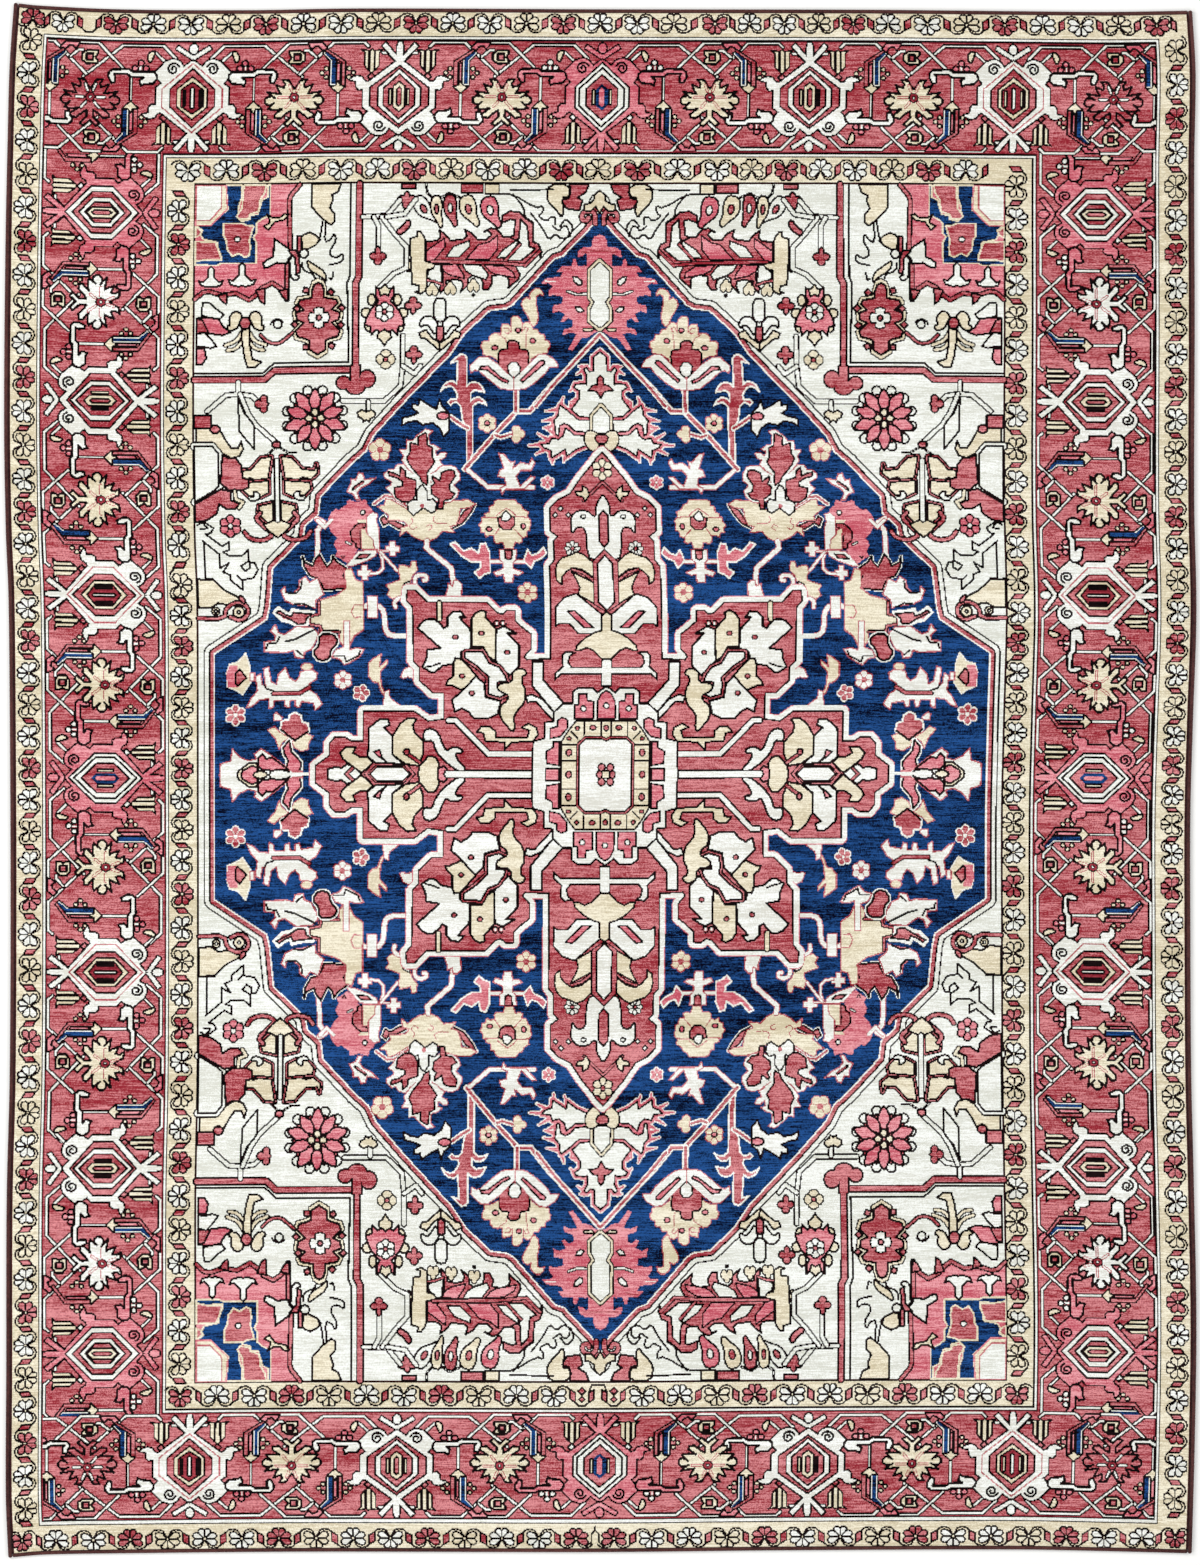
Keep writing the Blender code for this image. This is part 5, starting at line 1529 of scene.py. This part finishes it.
def field(chart):
    """The four quarters of the field, from the grounds to the heart of the medallion."""
    pen = Pen(chart, quarters(chart))
    medallion_ground(pen)
    for part in (apex, corner, corner_leaves, leaves_by_corner, bracket, spandrel_top, spandrel_branches,
                 spandrel_side):
        part(pen)
    navy_crown(pen.at(599.5, 250))
    red_tree(pen)
    axis_palmette(pen)
    fan_palmette(pen.at(515, 356))
    maple_palmette(pen.at(423, 502))
    round_palmette(pen.at(507, 522))
    lobed_palmette(pen.at(344, 530))
    for part in (
            navy_side, navy_buds, navy_edge, side_palmette, heart_corner, heart_ground, heart_top,
            arm_flower, side_arm, middle):
        part(pen)


@cache
def draw_chart():
    """The whole chart: the borders, and then the field inside them. The far rows come first."""
    chart = Chart()
    borders(chart)
    field(chart)
    return chart.knots


# ---------------------------------------------------------------------------------------------- the shapes
def stray_at(table, share):
    """How far an edge strays at shares of its length, in metres: a cubic curve through the table's rows,
    whose slope at a row is that of the line between the rows before and after it."""
    at, stray = np.array(table, float).T
    index = np.arange(len(at))
    low, high = np.maximum(index - 1, 0), np.minimum(index + 1, len(at) - 1)
    slope = (stray[high] - stray[low]) / (at[high] - at[low])
    k = np.clip(np.searchsorted(at, share, "right") - 1, 0, len(at) - 2)
    reach = at[k + 1] - at[k]
    t = (share - at[k]) / reach
    start = (2 * t**3 - 3 * t**2 + 1) * stray[k] + (t**3 - 2 * t**2 + t) * slope[k] * reach
    end = (3 * t**2 - 2 * t**3) * stray[k + 1] + (t**3 - t**2) * slope[k + 1] * reach
    return (start + end) * MM


def plan(u, v):
    """Places in plan at shares u across and v along the carpet: the four straying edges, blended."""
    left = -WIDTH / 2 - stray_at(LEFT_STRAY, v)
    right = WIDTH / 2 + stray_at(RIGHT_STRAY, v)
    near = -LENGTH / 2 - stray_at(NEAR_STRAY, u)
    far = LENGTH / 2 + stray_at(FAR_STRAY, u)
    return np.stack([left + (right - left) * u, near + (far - near) * v], axis=-1)


def body_plan(s, t):
    """Places in plan at shares s and t of the knotted body, between the selvedges and the bindings."""
    return plan(SIDE_SHARE + s * (1 - 2 * SIDE_SHARE), END_SHARE + t * (1 - 2 * END_SHARE))


def new_piece(name, points, faces, material):
    """A mesh object at the origin, from its points and arrays of faces, each with one number of corners."""
    mesh = bpy.data.meshes.new(name)
    corners = np.concatenate([block.ravel() for block in faces])
    counts = np.concatenate([np.full(len(block), block.shape[1]) for block in faces])
    mesh.vertices.add(len(points))
    mesh.vertices.foreach_set("co", points.astype(np.float32).ravel())
    mesh.loops.add(len(corners))
    mesh.loops.foreach_set("vertex_index", corners.astype(np.int32))
    mesh.polygons.add(len(counts))
    mesh.polygons.foreach_set("loop_start", (np.cumsum(counts) - counts).astype(np.int32))
    mesh.update(calc_edges=True)
    mesh.shade_smooth()
    mesh.materials.append(material)
    piece = bpy.data.objects.new(name, mesh)
    bpy.context.scene.collection.objects.link(piece)
    return piece


def knotted_shell(name, knots, profile, ripple, upwards, material):
    """A closed shell whose one face carries the chart. That face is a grid with one quad for each block of
    knots. Its rim follows the profile, rows of (inset from the body's edge, height), as rings of quads round
    the grid's edge, and one flat face closes the last ring. The ripple is a function of the two shares that
    lifts the grid."""
    columns, rows = KNOT_COLUMNS // BLOCK_COLUMNS, KNOT_ROWS // BLOCK_ROWS
    inset, height = profile[0]
    s = np.clip(np.arange(columns + 1) / columns, inset / WIDTH, 1 - inset / WIDTH)
    t = np.clip(np.arange(rows + 1) / rows, inset / LENGTH, 1 - inset / LENGTH)
    s, t = np.meshgrid(s, t)
    index = np.arange(s.size).reshape(s.shape)
    edge = np.concatenate([index[0, :-1], index[:-1, -1], index[-1, :0:-1], index[:0:-1, 0]])
    shares = [np.stack([s, t], axis=-1).reshape(-1, 2)]
    heights = [height + ripple(s, t).ravel()]
    for step_inset, step_height in profile[1:]:
        grow = (1 - 2 * step_inset / np.array([WIDTH, LENGTH])) / (1 - 2 * inset / np.array([WIDTH, LENGTH]))
        shares.append(0.5 + (shares[0][edge] - 0.5) * grow)
        heights.append(np.full(len(edge), step_height))
    shares, heights = np.concatenate(shares), np.concatenate(heights)
    points = np.column_stack([body_plan(*shares.T), heights])

    grid = np.stack([index[:-1, :-1], index[:-1, 1:], index[1:, 1:], index[1:, :-1]], axis=-1).reshape(-1, 4)
    rings = [edge] + [s.size + k * len(edge) + np.arange(len(edge)) for k in range(len(profile) - 1)]
    walls = [np.stack([a, b, np.roll(b, -1), np.roll(a, -1)], axis=-1) for a, b in zip(rings, rings[1:])]
    faces = [grid] + walls + [rings[-1][None, ::-1]]
    if not upwards:
        faces = [block[:, ::-1] for block in faces]
    piece = new_piece(name, points, faces, material)

    # the block that each face lies in: its own for the grid, the nearest for the rim, the first for the last
    across, along = np.meshgrid(np.arange(columns), np.arange(rows))
    rim_across = np.concatenate([across[0], across[:, -1], across[-1, ::-1], across[::-1, 0]])
    rim_along = np.concatenate([along[0], along[:, -1], along[-1, ::-1], along[::-1, 0]])
    across = np.concatenate([across.ravel()] + [rim_across] * len(walls) + [[0]])
    along = np.concatenate([along.ravel()] + [rim_along] * len(walls) + [[0]])
    blocks = knots[::-1].reshape(rows, BLOCK_ROWS, columns, BLOCK_COLUMNS).astype(np.float64)
    codes = blocks @ (float(len(DYES)) ** np.arange(BLOCK_COLUMNS))
    for row, name in enumerate(ROW_NAMES):
        attribute = piece.data.attributes.new(name, "FLOAT", "FACE")
        attribute.data.foreach_set("value", codes[along, row, across].astype(np.float32))

    # the chart's own place, which the export keeps; the last face is out of sight and takes no room there
    corners = np.concatenate([block.ravel() for block in faces])
    margin = MAP_MARGIN / np.array([KNOT_COLUMNS, KNOT_ROWS])
    spread = np.clip(shares[corners], margin, 1 - margin)
    spread[-len(edge):] = 0.5
    piece.data.uv_layers.new(name="OFBake").data.foreach_set("uv", spread.astype(np.float32).ravel())
    return piece


def wrapped_cord(name, line, across, thick, pitch, groove, lean, square, material):
    """A core wrapped in yarn: a flattened round carried along a line in plan that rests on the floor. Its
    radius swells and sinks once a turn of yarn, as the absolute sine of the way along plus the lean times
    the way round, and draws in over the last few millimetres of both ends. Square pulls the round towards
    a box."""
    away = np.diff(line, axis=0)
    length = np.concatenate([[0], np.cumsum(np.hypot(*away.T))])
    turns = int(length[-1] / pitch)
    way = np.linspace(0, length[-1], turns * YARN_STEPS + 1)
    place = np.stack([np.interp(way, length, line[:, k]) for k in (0, 1)], axis=1)
    ahead = np.gradient(place, axis=0)
    ahead /= np.linalg.norm(ahead, axis=1, keepdims=True)
    side = np.stack([ahead[:, 1], -ahead[:, 0]], axis=1)
    angle = np.linspace(0, 2 * np.pi, YARN_SIDES, endpoint=False)
    yarn = np.abs(np.sin(np.pi * (way[:, None] / (length[-1] / turns) + lean * angle[None, :] / (2 * np.pi))))
    end = np.minimum(way, length[-1] - way) / (thick / 2)
    drawn_in = np.sqrt(1 - (1 - np.clip(end, LEAST_END, 1)) ** 2)[:, None]
    radius = (1 - groove * (1 - yarn)) * drawn_in
    flat = (np.abs(np.cos(angle)) ** square + np.abs(np.sin(angle)) ** square) ** (-1 / square)
    out = across / 2 * radius * flat * np.cos(angle)
    up = thick / 2 * (1 + radius * flat * np.sin(angle))
    points = np.empty((len(way), YARN_SIDES, 3))
    points[..., :2] = place[:, None, :] + side[:, None, :] * out[..., None]
    points[..., 2] = up
    index = np.arange(len(way) * YARN_SIDES).reshape(len(way), YARN_SIDES)
    after = np.roll(index, -1, axis=1)
    skin = np.stack([index[:-1], index[1:], after[1:], after[:-1]], axis=-1).reshape(-1, 4)
    piece = new_piece(name, points.reshape(-1, 3), [skin, index[:1], index[-1:, ::-1]], material)
    return piece


# ------------------------------------------------------------------------------------------- the materials
# The noises over the chart: their grains to a knot, across and along.
SWAY_GRAIN = (0.9, 0.9)
STREAK_GRAIN = (0.06, 0.85)
BAND_GRAIN = (0.004, 0.06)
FIBRE_GRAIN = (2.3, 2.3)

# How far each cause of abrash moves a tone from full to pale: streaks, slow bands, the far end, single knots.
STREAK_FADE, BAND_FADE, FAR_FADE, KNOT_FADE = 1.9, 0.9, -0.16, 0.75
WORN_BLACK = 0.8  # how far black knots have worn below the others, in depths of the dip between knots

# The streaks, the slow drift of tone and the fibres of the edges' yarn.
YARN_STREAK, YARN_DRIFT, YARN_FIBRE = 6 * MM, 300 * MM, 1.2 * MM


def linear(red, green, blue):
    """A colour in the shader's linear light from screen values of 0 to 255."""
    share = np.array([red, green, blue]) / 255
    light = np.where(share <= 0.04045, share / 12.92, ((share + 0.055) / 1.055) ** 2.4)
    return (*(float(value) for value in light), 1.0)


class Dyebath:
    """One material, with short words for laying out its nodes."""

    def __init__(self, name, roughness, sheen):
        self.material = bpy.data.materials.new(name)
        self.material.use_nodes = True
        self.nodes = self.material.node_tree.nodes
        self.links = self.material.node_tree.links
        self.shader = self.nodes["Principled BSDF"]
        self.shader.inputs["Roughness"].default_value = roughness
        self.shader.inputs["Sheen Weight"].default_value = sheen
        self.shader.inputs["Sheen Roughness"].default_value = 0.5
        self.shader.inputs["Specular IOR Level"].default_value = 0.05

    def join(self, value, socket):
        """Links a socket to another, or gives it a plain value."""
        if isinstance(value, bpy.types.NodeSocket):
            self.links.new(value, socket)
        else:
            socket.default_value = value

    def node(self, kind, **settings):
        """A new node with its settings."""
        node = self.nodes.new(kind)
        for name, value in settings.items():
            setattr(node, name, value)
        return node

    def math(self, operation, *values, clamp=False):
        """One sum on sockets and plain values."""
        node = self.node("ShaderNodeMath", operation=operation, use_clamp=clamp)
        for value, socket in zip(values, node.inputs):
            self.join(value, socket)
        return node.outputs[0]

    def vector(self, *values):
        node = self.node("ShaderNodeCombineXYZ")
        for value, socket in zip(values, node.inputs):
            self.join(value, socket)
        return node.outputs[0]

    def noise(self, place, detail=2.0, rough=0.5):
        """Soft noise about 0, of one unit's grain, mostly between -0.5 and 0.5."""
        node = self.node("ShaderNodeTexNoise")
        self.join(place, node.inputs["Vector"])
        node.inputs["Scale"].default_value = 1.0
        node.inputs["Detail"].default_value = detail
        node.inputs["Roughness"].default_value = rough
        return self.math("MULTIPLY_ADD", node.outputs["Fac"], 2.0, -1.0)

    def grain(self, place):
        """A number of its own from 0 to 1 for each cell of one unit."""
        node = self.node("ShaderNodeTexWhiteNoise", noise_dimensions="3D")
        self.join(place, node.inputs["Vector"])
        return node.outputs["Value"]

    def ramp(self, share, stops):
        """A ramp in steps: each stop is its place and the colour from there on."""
        node = self.node("ShaderNodeValToRGB")
        ramp = node.color_ramp
        ramp.interpolation = "CONSTANT"
        while len(ramp.elements) < len(stops):
            ramp.elements.new(1.0)
        for element, (place, colour) in zip(ramp.elements, stops):
            element.position = place
            element.color = colour
        self.join(share, node.inputs["Fac"])
        return node.outputs["Color"]

    def blend(self, share, first, second):
        """Two colours mixed; the mix node's colour sockets are its inputs 6 and 7 and its output 2."""
        node = self.node("ShaderNodeMix", data_type="RGBA")
        for value, socket in zip((share, first, second), (node.inputs[0], node.inputs[6], node.inputs[7])):
            self.join(value, socket)
        return node.outputs[2]

    def bump(self, height, depth):
        """Relief on the surface, as deep in metres as told for a height of one."""
        node = self.node("ShaderNodeBump")
        node.inputs["Distance"].default_value = depth
        self.join(height, node.inputs["Height"])
        self.join(node.outputs["Normal"], self.shader.inputs["Normal"])

    def colour(self, colour):
        self.join(colour, self.shader.inputs["Base Color"])


def knotted_wool(name, dyes, wear, relief, waver):
    """The chart in wool. Each face gives, for each of its rows of knots, one number whose digits, to the base
    of the number of dyes, are the dyes of the row's knots, the first knot in the last digit. The place on the
    chart picks the row and the digit. Dyes are rows of a full and a pale tone, wear deepens the abrash,
    relief is the depth of the tufts, and waver is how far knots sway out of line."""
    wool = Dyebath(name, roughness=0.95, sheen=0.02)
    place = wool.node("ShaderNodeSeparateXYZ")
    wool.join(wool.node("ShaderNodeUVMap", uv_map="OFBake").outputs["UV"], place.inputs[0])
    x = wool.math("MULTIPLY", place.outputs["X"], KNOT_COLUMNS)
    y = wool.math("MULTIPLY", place.outputs["Y"], KNOT_ROWS)

    def knot_in_block(way, count, sway):
        """Which knot of its block, where no two knots are quite alike in width."""
        inside = wool.math("MULTIPLY", wool.math("FRACT", wool.math("DIVIDE", way, count)), count)
        swayed = wool.math("ADD", inside, wool.math("MULTIPLY", sway, waver))
        held = wool.math("MINIMUM", wool.math("MAXIMUM", swayed, 0.01), count - 0.01)
        return wool.math("FLOOR", held)

    def drift(across, along, level, detail=2.0, rough=0.5):
        """Noise over the chart with so many grains to a knot each way, cut through its own level."""
        place = wool.vector(wool.math("MULTIPLY", x, across), wool.math("MULTIPLY", y, along), level)
        return wool.noise(place, detail, rough)

    sway = drift(*SWAY_GRAIN, 3.7, 1.0)
    sway_up = drift(*SWAY_GRAIN, 9.1, 1.0)
    column = knot_in_block(x, BLOCK_COLUMNS, sway)
    row = knot_in_block(y, BLOCK_ROWS, sway_up)
    code = 0.5
    for k, attribute in enumerate(ROW_NAMES):
        here = wool.math("COMPARE", row, float(k), 0.25)
        value = wool.node("ShaderNodeAttribute", attribute_name=attribute).outputs["Fac"]
        code = wool.math("MULTIPLY_ADD", value, here, code)
    digits = wool.math("FLOOR", wool.math("DIVIDE", code, wool.math("POWER", float(len(DYES)), column)))
    dye = wool.math("MODULO", digits, float(len(DYES)))
    share = wool.math("MULTIPLY_ADD", dye, 1 / len(DYES), 0.5 / len(DYES))
    deep, pale = (wool.ramp(share, [(k / len(DYES), tuple(tone)) for k, tone in enumerate(kind)])
                  for kind in zip(*dyes))

    # abrash: rows of one dye differ from bath to bath, and each row fades in streaks along it
    streak = drift(*STREAK_GRAIN, 1.3, 4.0, 0.65)
    band = drift(*BAND_GRAIN, 6.3)
    knot = wool.grain(wool.vector(wool.math("FLOOR", x), wool.math("FLOOR", y), 0.5))
    fade = wool.math("MULTIPLY_ADD", streak, STREAK_FADE * wear, 0.5)
    fade = wool.math("MULTIPLY_ADD", band, BAND_FADE * wear, fade)
    fade = wool.math("MULTIPLY_ADD", place.outputs["Y"], FAR_FADE * wear, fade)
    fade = wool.math("MULTIPLY_ADD", wool.math("SUBTRACT", knot, 0.5), KNOT_FADE * wear, fade, clamp=True)
    wool.colour(wool.blend(fade, deep, pale))

    # each knot stands as a small tuft, and the dark outlines have worn lower
    def dome(way):
        side = wool.math("MULTIPLY_ADD", wool.math("FRACT", way), 2.0, -1.0)
        return wool.math("SUBTRACT", 1.0, wool.math("MULTIPLY", side, side))

    tuft = wool.math("MULTIPLY", dome(x), dome(y))
    fibre = drift(*FIBRE_GRAIN, 2.2)
    height = wool.math("MULTIPLY_ADD", fibre, 0.5, tuft)
    height = wool.math("ADD", height, wool.math("MULTIPLY", wool.math("MINIMUM", dye, 1.0), WORN_BLACK))
    wool.bump(height, relief)
    return wool.material


def yarn_wool(name, deep, pale, relief):
    """Twisted yarn for the wrapped edges: streaks of two near tones, with fibres as bump."""
    wool = Dyebath(name, roughness=0.95, sheen=0.2)
    place = wool.node("ShaderNodeTexCoord").outputs["Object"]

    def scaled(size):
        node = wool.node("ShaderNodeVectorMath", operation="SCALE")
        wool.join(place, node.inputs[0])
        node.inputs["Scale"].default_value = 1 / size
        return node.outputs[0]

    streak = wool.noise(scaled(YARN_STREAK), 3.0, 0.7)
    drift = wool.noise(scaled(YARN_DRIFT))
    share = wool.math("MULTIPLY_ADD", streak, 0.9, wool.math("MULTIPLY_ADD", drift, 0.5, 0.45), clamp=True)
    wool.colour(wool.blend(share, tuple(deep), tuple(pale)))
    wool.bump(wool.noise(scaled(YARN_FIBRE), 3.0, 0.7), relief)
    return wool.material


# --------------------------------------------------------------------------------------------- the add-on
def size_of(name, text, default):
    """A length that the user may change, in metres."""
    return bpy.props.FloatProperty(name=name, description=text, default=default, precision=4, unit="LENGTH")


def tone_of(name, text, colour):
    """A colour that the user may change, from its screen values."""
    return bpy.props.FloatVectorProperty(
        name=name, description=text, default=linear(*colour), size=4, min=0, max=1, subtype="COLOR")


class CarpetSizes(bpy.types.PropertyGroup):
    """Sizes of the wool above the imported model's own."""
    pile_top: size_of("Pile top", "Height of the shorn pile over the floor", BODY_THICK)
    back_thick: size_of("Back", "Thickness of the knots' backs and the threads they sit on", 2.4 * MM)
    swell: size_of("Swell", "How far the pile's top rises and falls where it lies uneven", 0.7 * MM)
    tuft: size_of("Tuft", "Depth of the dip between two knots of the pile", 0.5 * MM)
    yarn: size_of("Yarn", "Width of one turn of yarn round an edge", 3.6 * MM)
    wear: bpy.props.FloatProperty(
        name="Abrash", description="How far the rows of one dye differ in tone", default=1.0, min=0, max=2)


class CarpetDyes(bpy.types.PropertyGroup):
    """The full and the pale tone of each dye, and of the yarn that wraps the edges."""
    __annotations__ = {
        f"{dye}_{tone}": tone_of(f"{dye} {tone}".capitalize(), f"The {tone} tone of the {dye} wool", colour)
        for dye, colours in DYES.items()
        for tone, colour in zip(("full", "pale"), colours)
    }
    edge_full: tone_of("Edge full", "The deepest tone of the edges' yarn", (40, 16, 18))
    edge_pale: tone_of("Edge pale", "The palest tone of the edges' yarn", (104, 62, 58))


class CarpetStage(bpy.types.PropertyGroup):
    """The floor, the lights and the view."""
    floor: tone_of("Floor", "Colour of the floor", (238, 238, 236))
    sky: bpy.props.FloatProperty(name="Fill", description="Strength of the light from all round",
                                 default=0.42, min=0)
    lamps: bpy.props.FloatProperty(name="Lamps", description="Power of each soft lamp", default=230,
                                   unit="POWER")
    height: size_of("Camera height", "Height of the camera over the pile", 12.0)


def tones(dyes):
    """The full and the pale tone of each dye, in the dyes' order."""
    return [(getattr(dyes, f"{dye}_full"), getattr(dyes, f"{dye}_pale")) for dye in DYES]


class WOOL_OT_pile(bpy.types.Operator):
    """Knots the pile from its chart"""
    bl_idname = "wool.pile"
    bl_label = "Knot the pile"

    def execute(self, context):
        sizes, dyes = context.scene.carpet_sizes, context.scene.carpet_dyes
        wool = knotted_wool("madder_and_indigo_pile", tones(dyes), sizes.wear, sizes.tuft, waver=0.35)
        top = sizes.pile_top

        def swell(s, t):
            """Slow waves in both directions that die out towards the edges."""
            waves = np.sin(9 * s + 4 * np.sin(5 * t)) + np.sin(13 * t + 3 * np.sin(6 * s + 1))
            edge = np.minimum(np.minimum(s, 1 - s) * WIDTH, np.minimum(t, 1 - t) * LENGTH)
            return sizes.swell / 2 * waves * np.clip(edge / 0.15, 0, 1)

        rim = [(3.2, 0), (2.0, 0.3), (1.0, 1.0), (0.35, 2.0), (0, 3.2)]
        profile = [(inset * MM, top - drop * MM) for inset, drop in rim]
        profile.append((0, sizes.back_thick + 0.2 * MM))
        pile = knotted_shell("knotted_pile", draw_chart(), profile, swell, True, wool)
        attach(pile, "root")
        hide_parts("carpet_body")
        return {"FINISHED"}


class WOOL_OT_back(bpy.types.Operator):
    """Lays the knots' flat backs, which show the same chart from below"""
    bl_idname = "wool.back"
    bl_label = "Knot the back"

    def execute(self, context):
        sizes, dyes = context.scene.carpet_sizes, context.scene.carpet_dyes
        wool = knotted_wool("madder_and_indigo_back", tones(dyes), sizes.wear * 0.7, sizes.tuft * 0.5,
                            waver=0.1)
        profile = [(0.7 * MM, 0), (0.2 * MM, 0.25 * MM), (0, 0.8 * MM), (0, sizes.back_thick)]
        back = knotted_shell("knotted_back", draw_chart(), profile, lambda s, t: 0 * s, False, wool)
        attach(back, "root")
        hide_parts("carpet_body")
        return {"FINISHED"}


class WOOL_OT_selvedges(bpy.types.Operator):
    """Wraps the cord down each long side in dark yarn"""
    bl_idname = "wool.selvedges"
    bl_label = "Wrap the selvedges"

    def execute(self, context):
        sizes, dyes = context.scene.carpet_sizes, context.scene.carpet_dyes
        yarn = yarn_wool("dark_selvedge_yarn", dyes.edge_full, dyes.edge_pale, FIBRE_DEPTH)
        share = SELVEDGE_ACROSS / 2 / WIDTH
        for node, u in (("selvedge_left", share), ("selvedge_right", 1 - share)):
            v = np.linspace(0, 1, EDGE_POINTS)
            line = plan(np.full_like(v, u), v)
            cord = wrapped_cord(f"{node}_yarn", line, SELVEDGE_ACROSS, SELVEDGE_ACROSS * 0.9, sizes.yarn,
                                groove=0.16, lean=0.6, square=2.2, material=yarn)
            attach(cord, "root")
            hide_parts(node)
        return {"FINISHED"}


class WOOL_OT_bindings(bpy.types.Operator):
    """Whips the two short ends with brown yarn"""
    bl_idname = "wool.bindings"
    bl_label = "Whip the ends"

    def execute(self, context):
        sizes, dyes = context.scene.carpet_sizes, context.scene.carpet_dyes
        yarn = yarn_wool("brown_binding_yarn", dyes.edge_full, dyes.edge_pale, FIBRE_DEPTH)
        share = BINDING_WIDE / 2 / LENGTH
        for node, v in (("binding_near", share), ("binding_far", 1 - share)):
            u = np.linspace(SIDE_SHARE, 1 - SIDE_SHARE, EDGE_POINTS)
            line = plan(u, np.full_like(u, v))
            cord = wrapped_cord(f"{node}_yarn", line, BINDING_WIDE, BINDING_THICK, sizes.yarn * 0.9,
                                groove=0.14, lean=0.5, square=3.0, material=yarn)
            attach(cord, "root")
            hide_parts(node)
        return {"FINISHED"}


class WOOL_OT_stage(bpy.types.Operator):
    """Sets the pale floor, the soft lamps and the camera straight above"""
    bl_idname = "wool.stage"
    bl_label = "Set the stage"

    def execute(self, context):
        scene, stage = context.scene, context.scene.carpet_stage
        set_floor(stage.floor)
        set_lights(scene, stage.sky, stage.lamps)
        set_camera(scene, stage.height)
        return {"FINISHED"}


class WOOL_PT_carpet(bpy.types.Panel):
    """Lists the carpet's steps, sizes and dyes"""
    bl_label = "Knotted carpet"
    bl_space_type = "VIEW_3D"
    bl_region_type = "UI"
    bl_category = "Carpet"

    def draw(self, context):
        for step in STEPS:
            self.layout.operator(step.bl_idname)
        for group in (context.scene.carpet_sizes, context.scene.carpet_dyes, context.scene.carpet_stage):
            column = self.layout.column(align=True)
            for name in type(group).__annotations__:
                column.prop(group, name)


# -------------------------------------------------------------------------------------------------- the stage
FLOOR_REACH = 15.0  # metres from the middle of the floor to its edges
LAMPS = ((-5, 3, 1.3), (5, 3, 0.8), (5, -4, 0.7), (-5, -4, 1.0))  # places in plan, and shares of the power
LAMP_HEIGHT = 5.0
LAMP_SIZE = 4.0
VIEW_TALL = 3.612  # metres of the floor from the foot to the top of the picture
VIEW_MIDDLE = (-0.0006, -0.0052)


def set_floor(colour):
    """A wide plain floor under the carpet."""
    points = np.column_stack([box(-FLOOR_REACH, -FLOOR_REACH, FLOOR_REACH, FLOOR_REACH), np.zeros(4)])
    paint = bpy.data.materials.new("pale_floor")
    paint.use_nodes = True
    shader = paint.node_tree.nodes["Principled BSDF"]
    shader.inputs["Base Color"].default_value = colour
    shader.inputs["Roughness"].default_value = 0.9
    shader.inputs["Specular IOR Level"].default_value = 0.1
    new_piece("floor", points - (0, 0, 0.3 * MM), [np.array([[0, 1, 2, 3]])], paint)


def set_lights(scene, sky, power):
    """An even white sky and four broad lamps round the carpet, one of them stronger."""
    world = bpy.data.worlds.new("studio")
    world.use_nodes = True
    world.node_tree.nodes["Background"].inputs["Color"].default_value = (1, 1, 1, 1)
    world.node_tree.nodes["Background"].inputs["Strength"].default_value = sky
    scene.world = world
    for x, y, share in LAMPS:
        lamp = bpy.data.lights.new("soft_lamp", "AREA")
        lamp.shape = "SQUARE"
        lamp.size = LAMP_SIZE
        lamp.energy = power * share
        holder = bpy.data.objects.new("soft_lamp", lamp)
        holder.location = (x, y, LAMP_HEIGHT)
        holder.rotation_euler = (-holder.location).to_track_quat("-Z", "Y").to_euler()
        scene.collection.objects.link(holder)


def set_camera(scene, height):
    """A long lens straight above, so that the whole carpet fills the picture as it does in the photograph."""
    camera = bpy.data.cameras.new("overhead")
    camera.sensor_fit = "VERTICAL"
    camera.sensor_height = 24.0
    camera.lens = camera.sensor_height * height / VIEW_TALL
    camera.clip_end = 100.0
    holder = bpy.data.objects.new("overhead", camera)
    holder.location = (*VIEW_MIDDLE, scene.carpet_sizes.pile_top + height)
    scene.collection.objects.link(holder)
    scene.camera = holder
    scene.view_settings.view_transform = "Standard"


STEPS = (WOOL_OT_pile, WOOL_OT_back, WOOL_OT_selvedges, WOOL_OT_bindings, WOOL_OT_stage)
CLASSES = (CarpetSizes, CarpetDyes, CarpetStage, *STEPS, WOOL_PT_carpet)


def register():
    for kind in CLASSES:
        bpy.utils.register_class(kind)
    bpy.types.Scene.carpet_sizes = bpy.props.PointerProperty(type=CarpetSizes)
    bpy.types.Scene.carpet_dyes = bpy.props.PointerProperty(type=CarpetDyes)
    bpy.types.Scene.carpet_stage = bpy.props.PointerProperty(type=CarpetStage)


def unregister():
    del bpy.types.Scene.carpet_sizes, bpy.types.Scene.carpet_dyes, bpy.types.Scene.carpet_stage
    for kind in reversed(CLASSES):
        bpy.utils.unregister_class(kind)


def main():
    """Registers the add-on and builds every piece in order."""
    register()
    bpy.ops.wool.pile()
    bpy.ops.wool.back()
    bpy.ops.wool.selvedges()
    bpy.ops.wool.bindings()
    bpy.ops.wool.stage()
    bpy.context.view_layer.update()


if __name__ == "__main__":
    main()
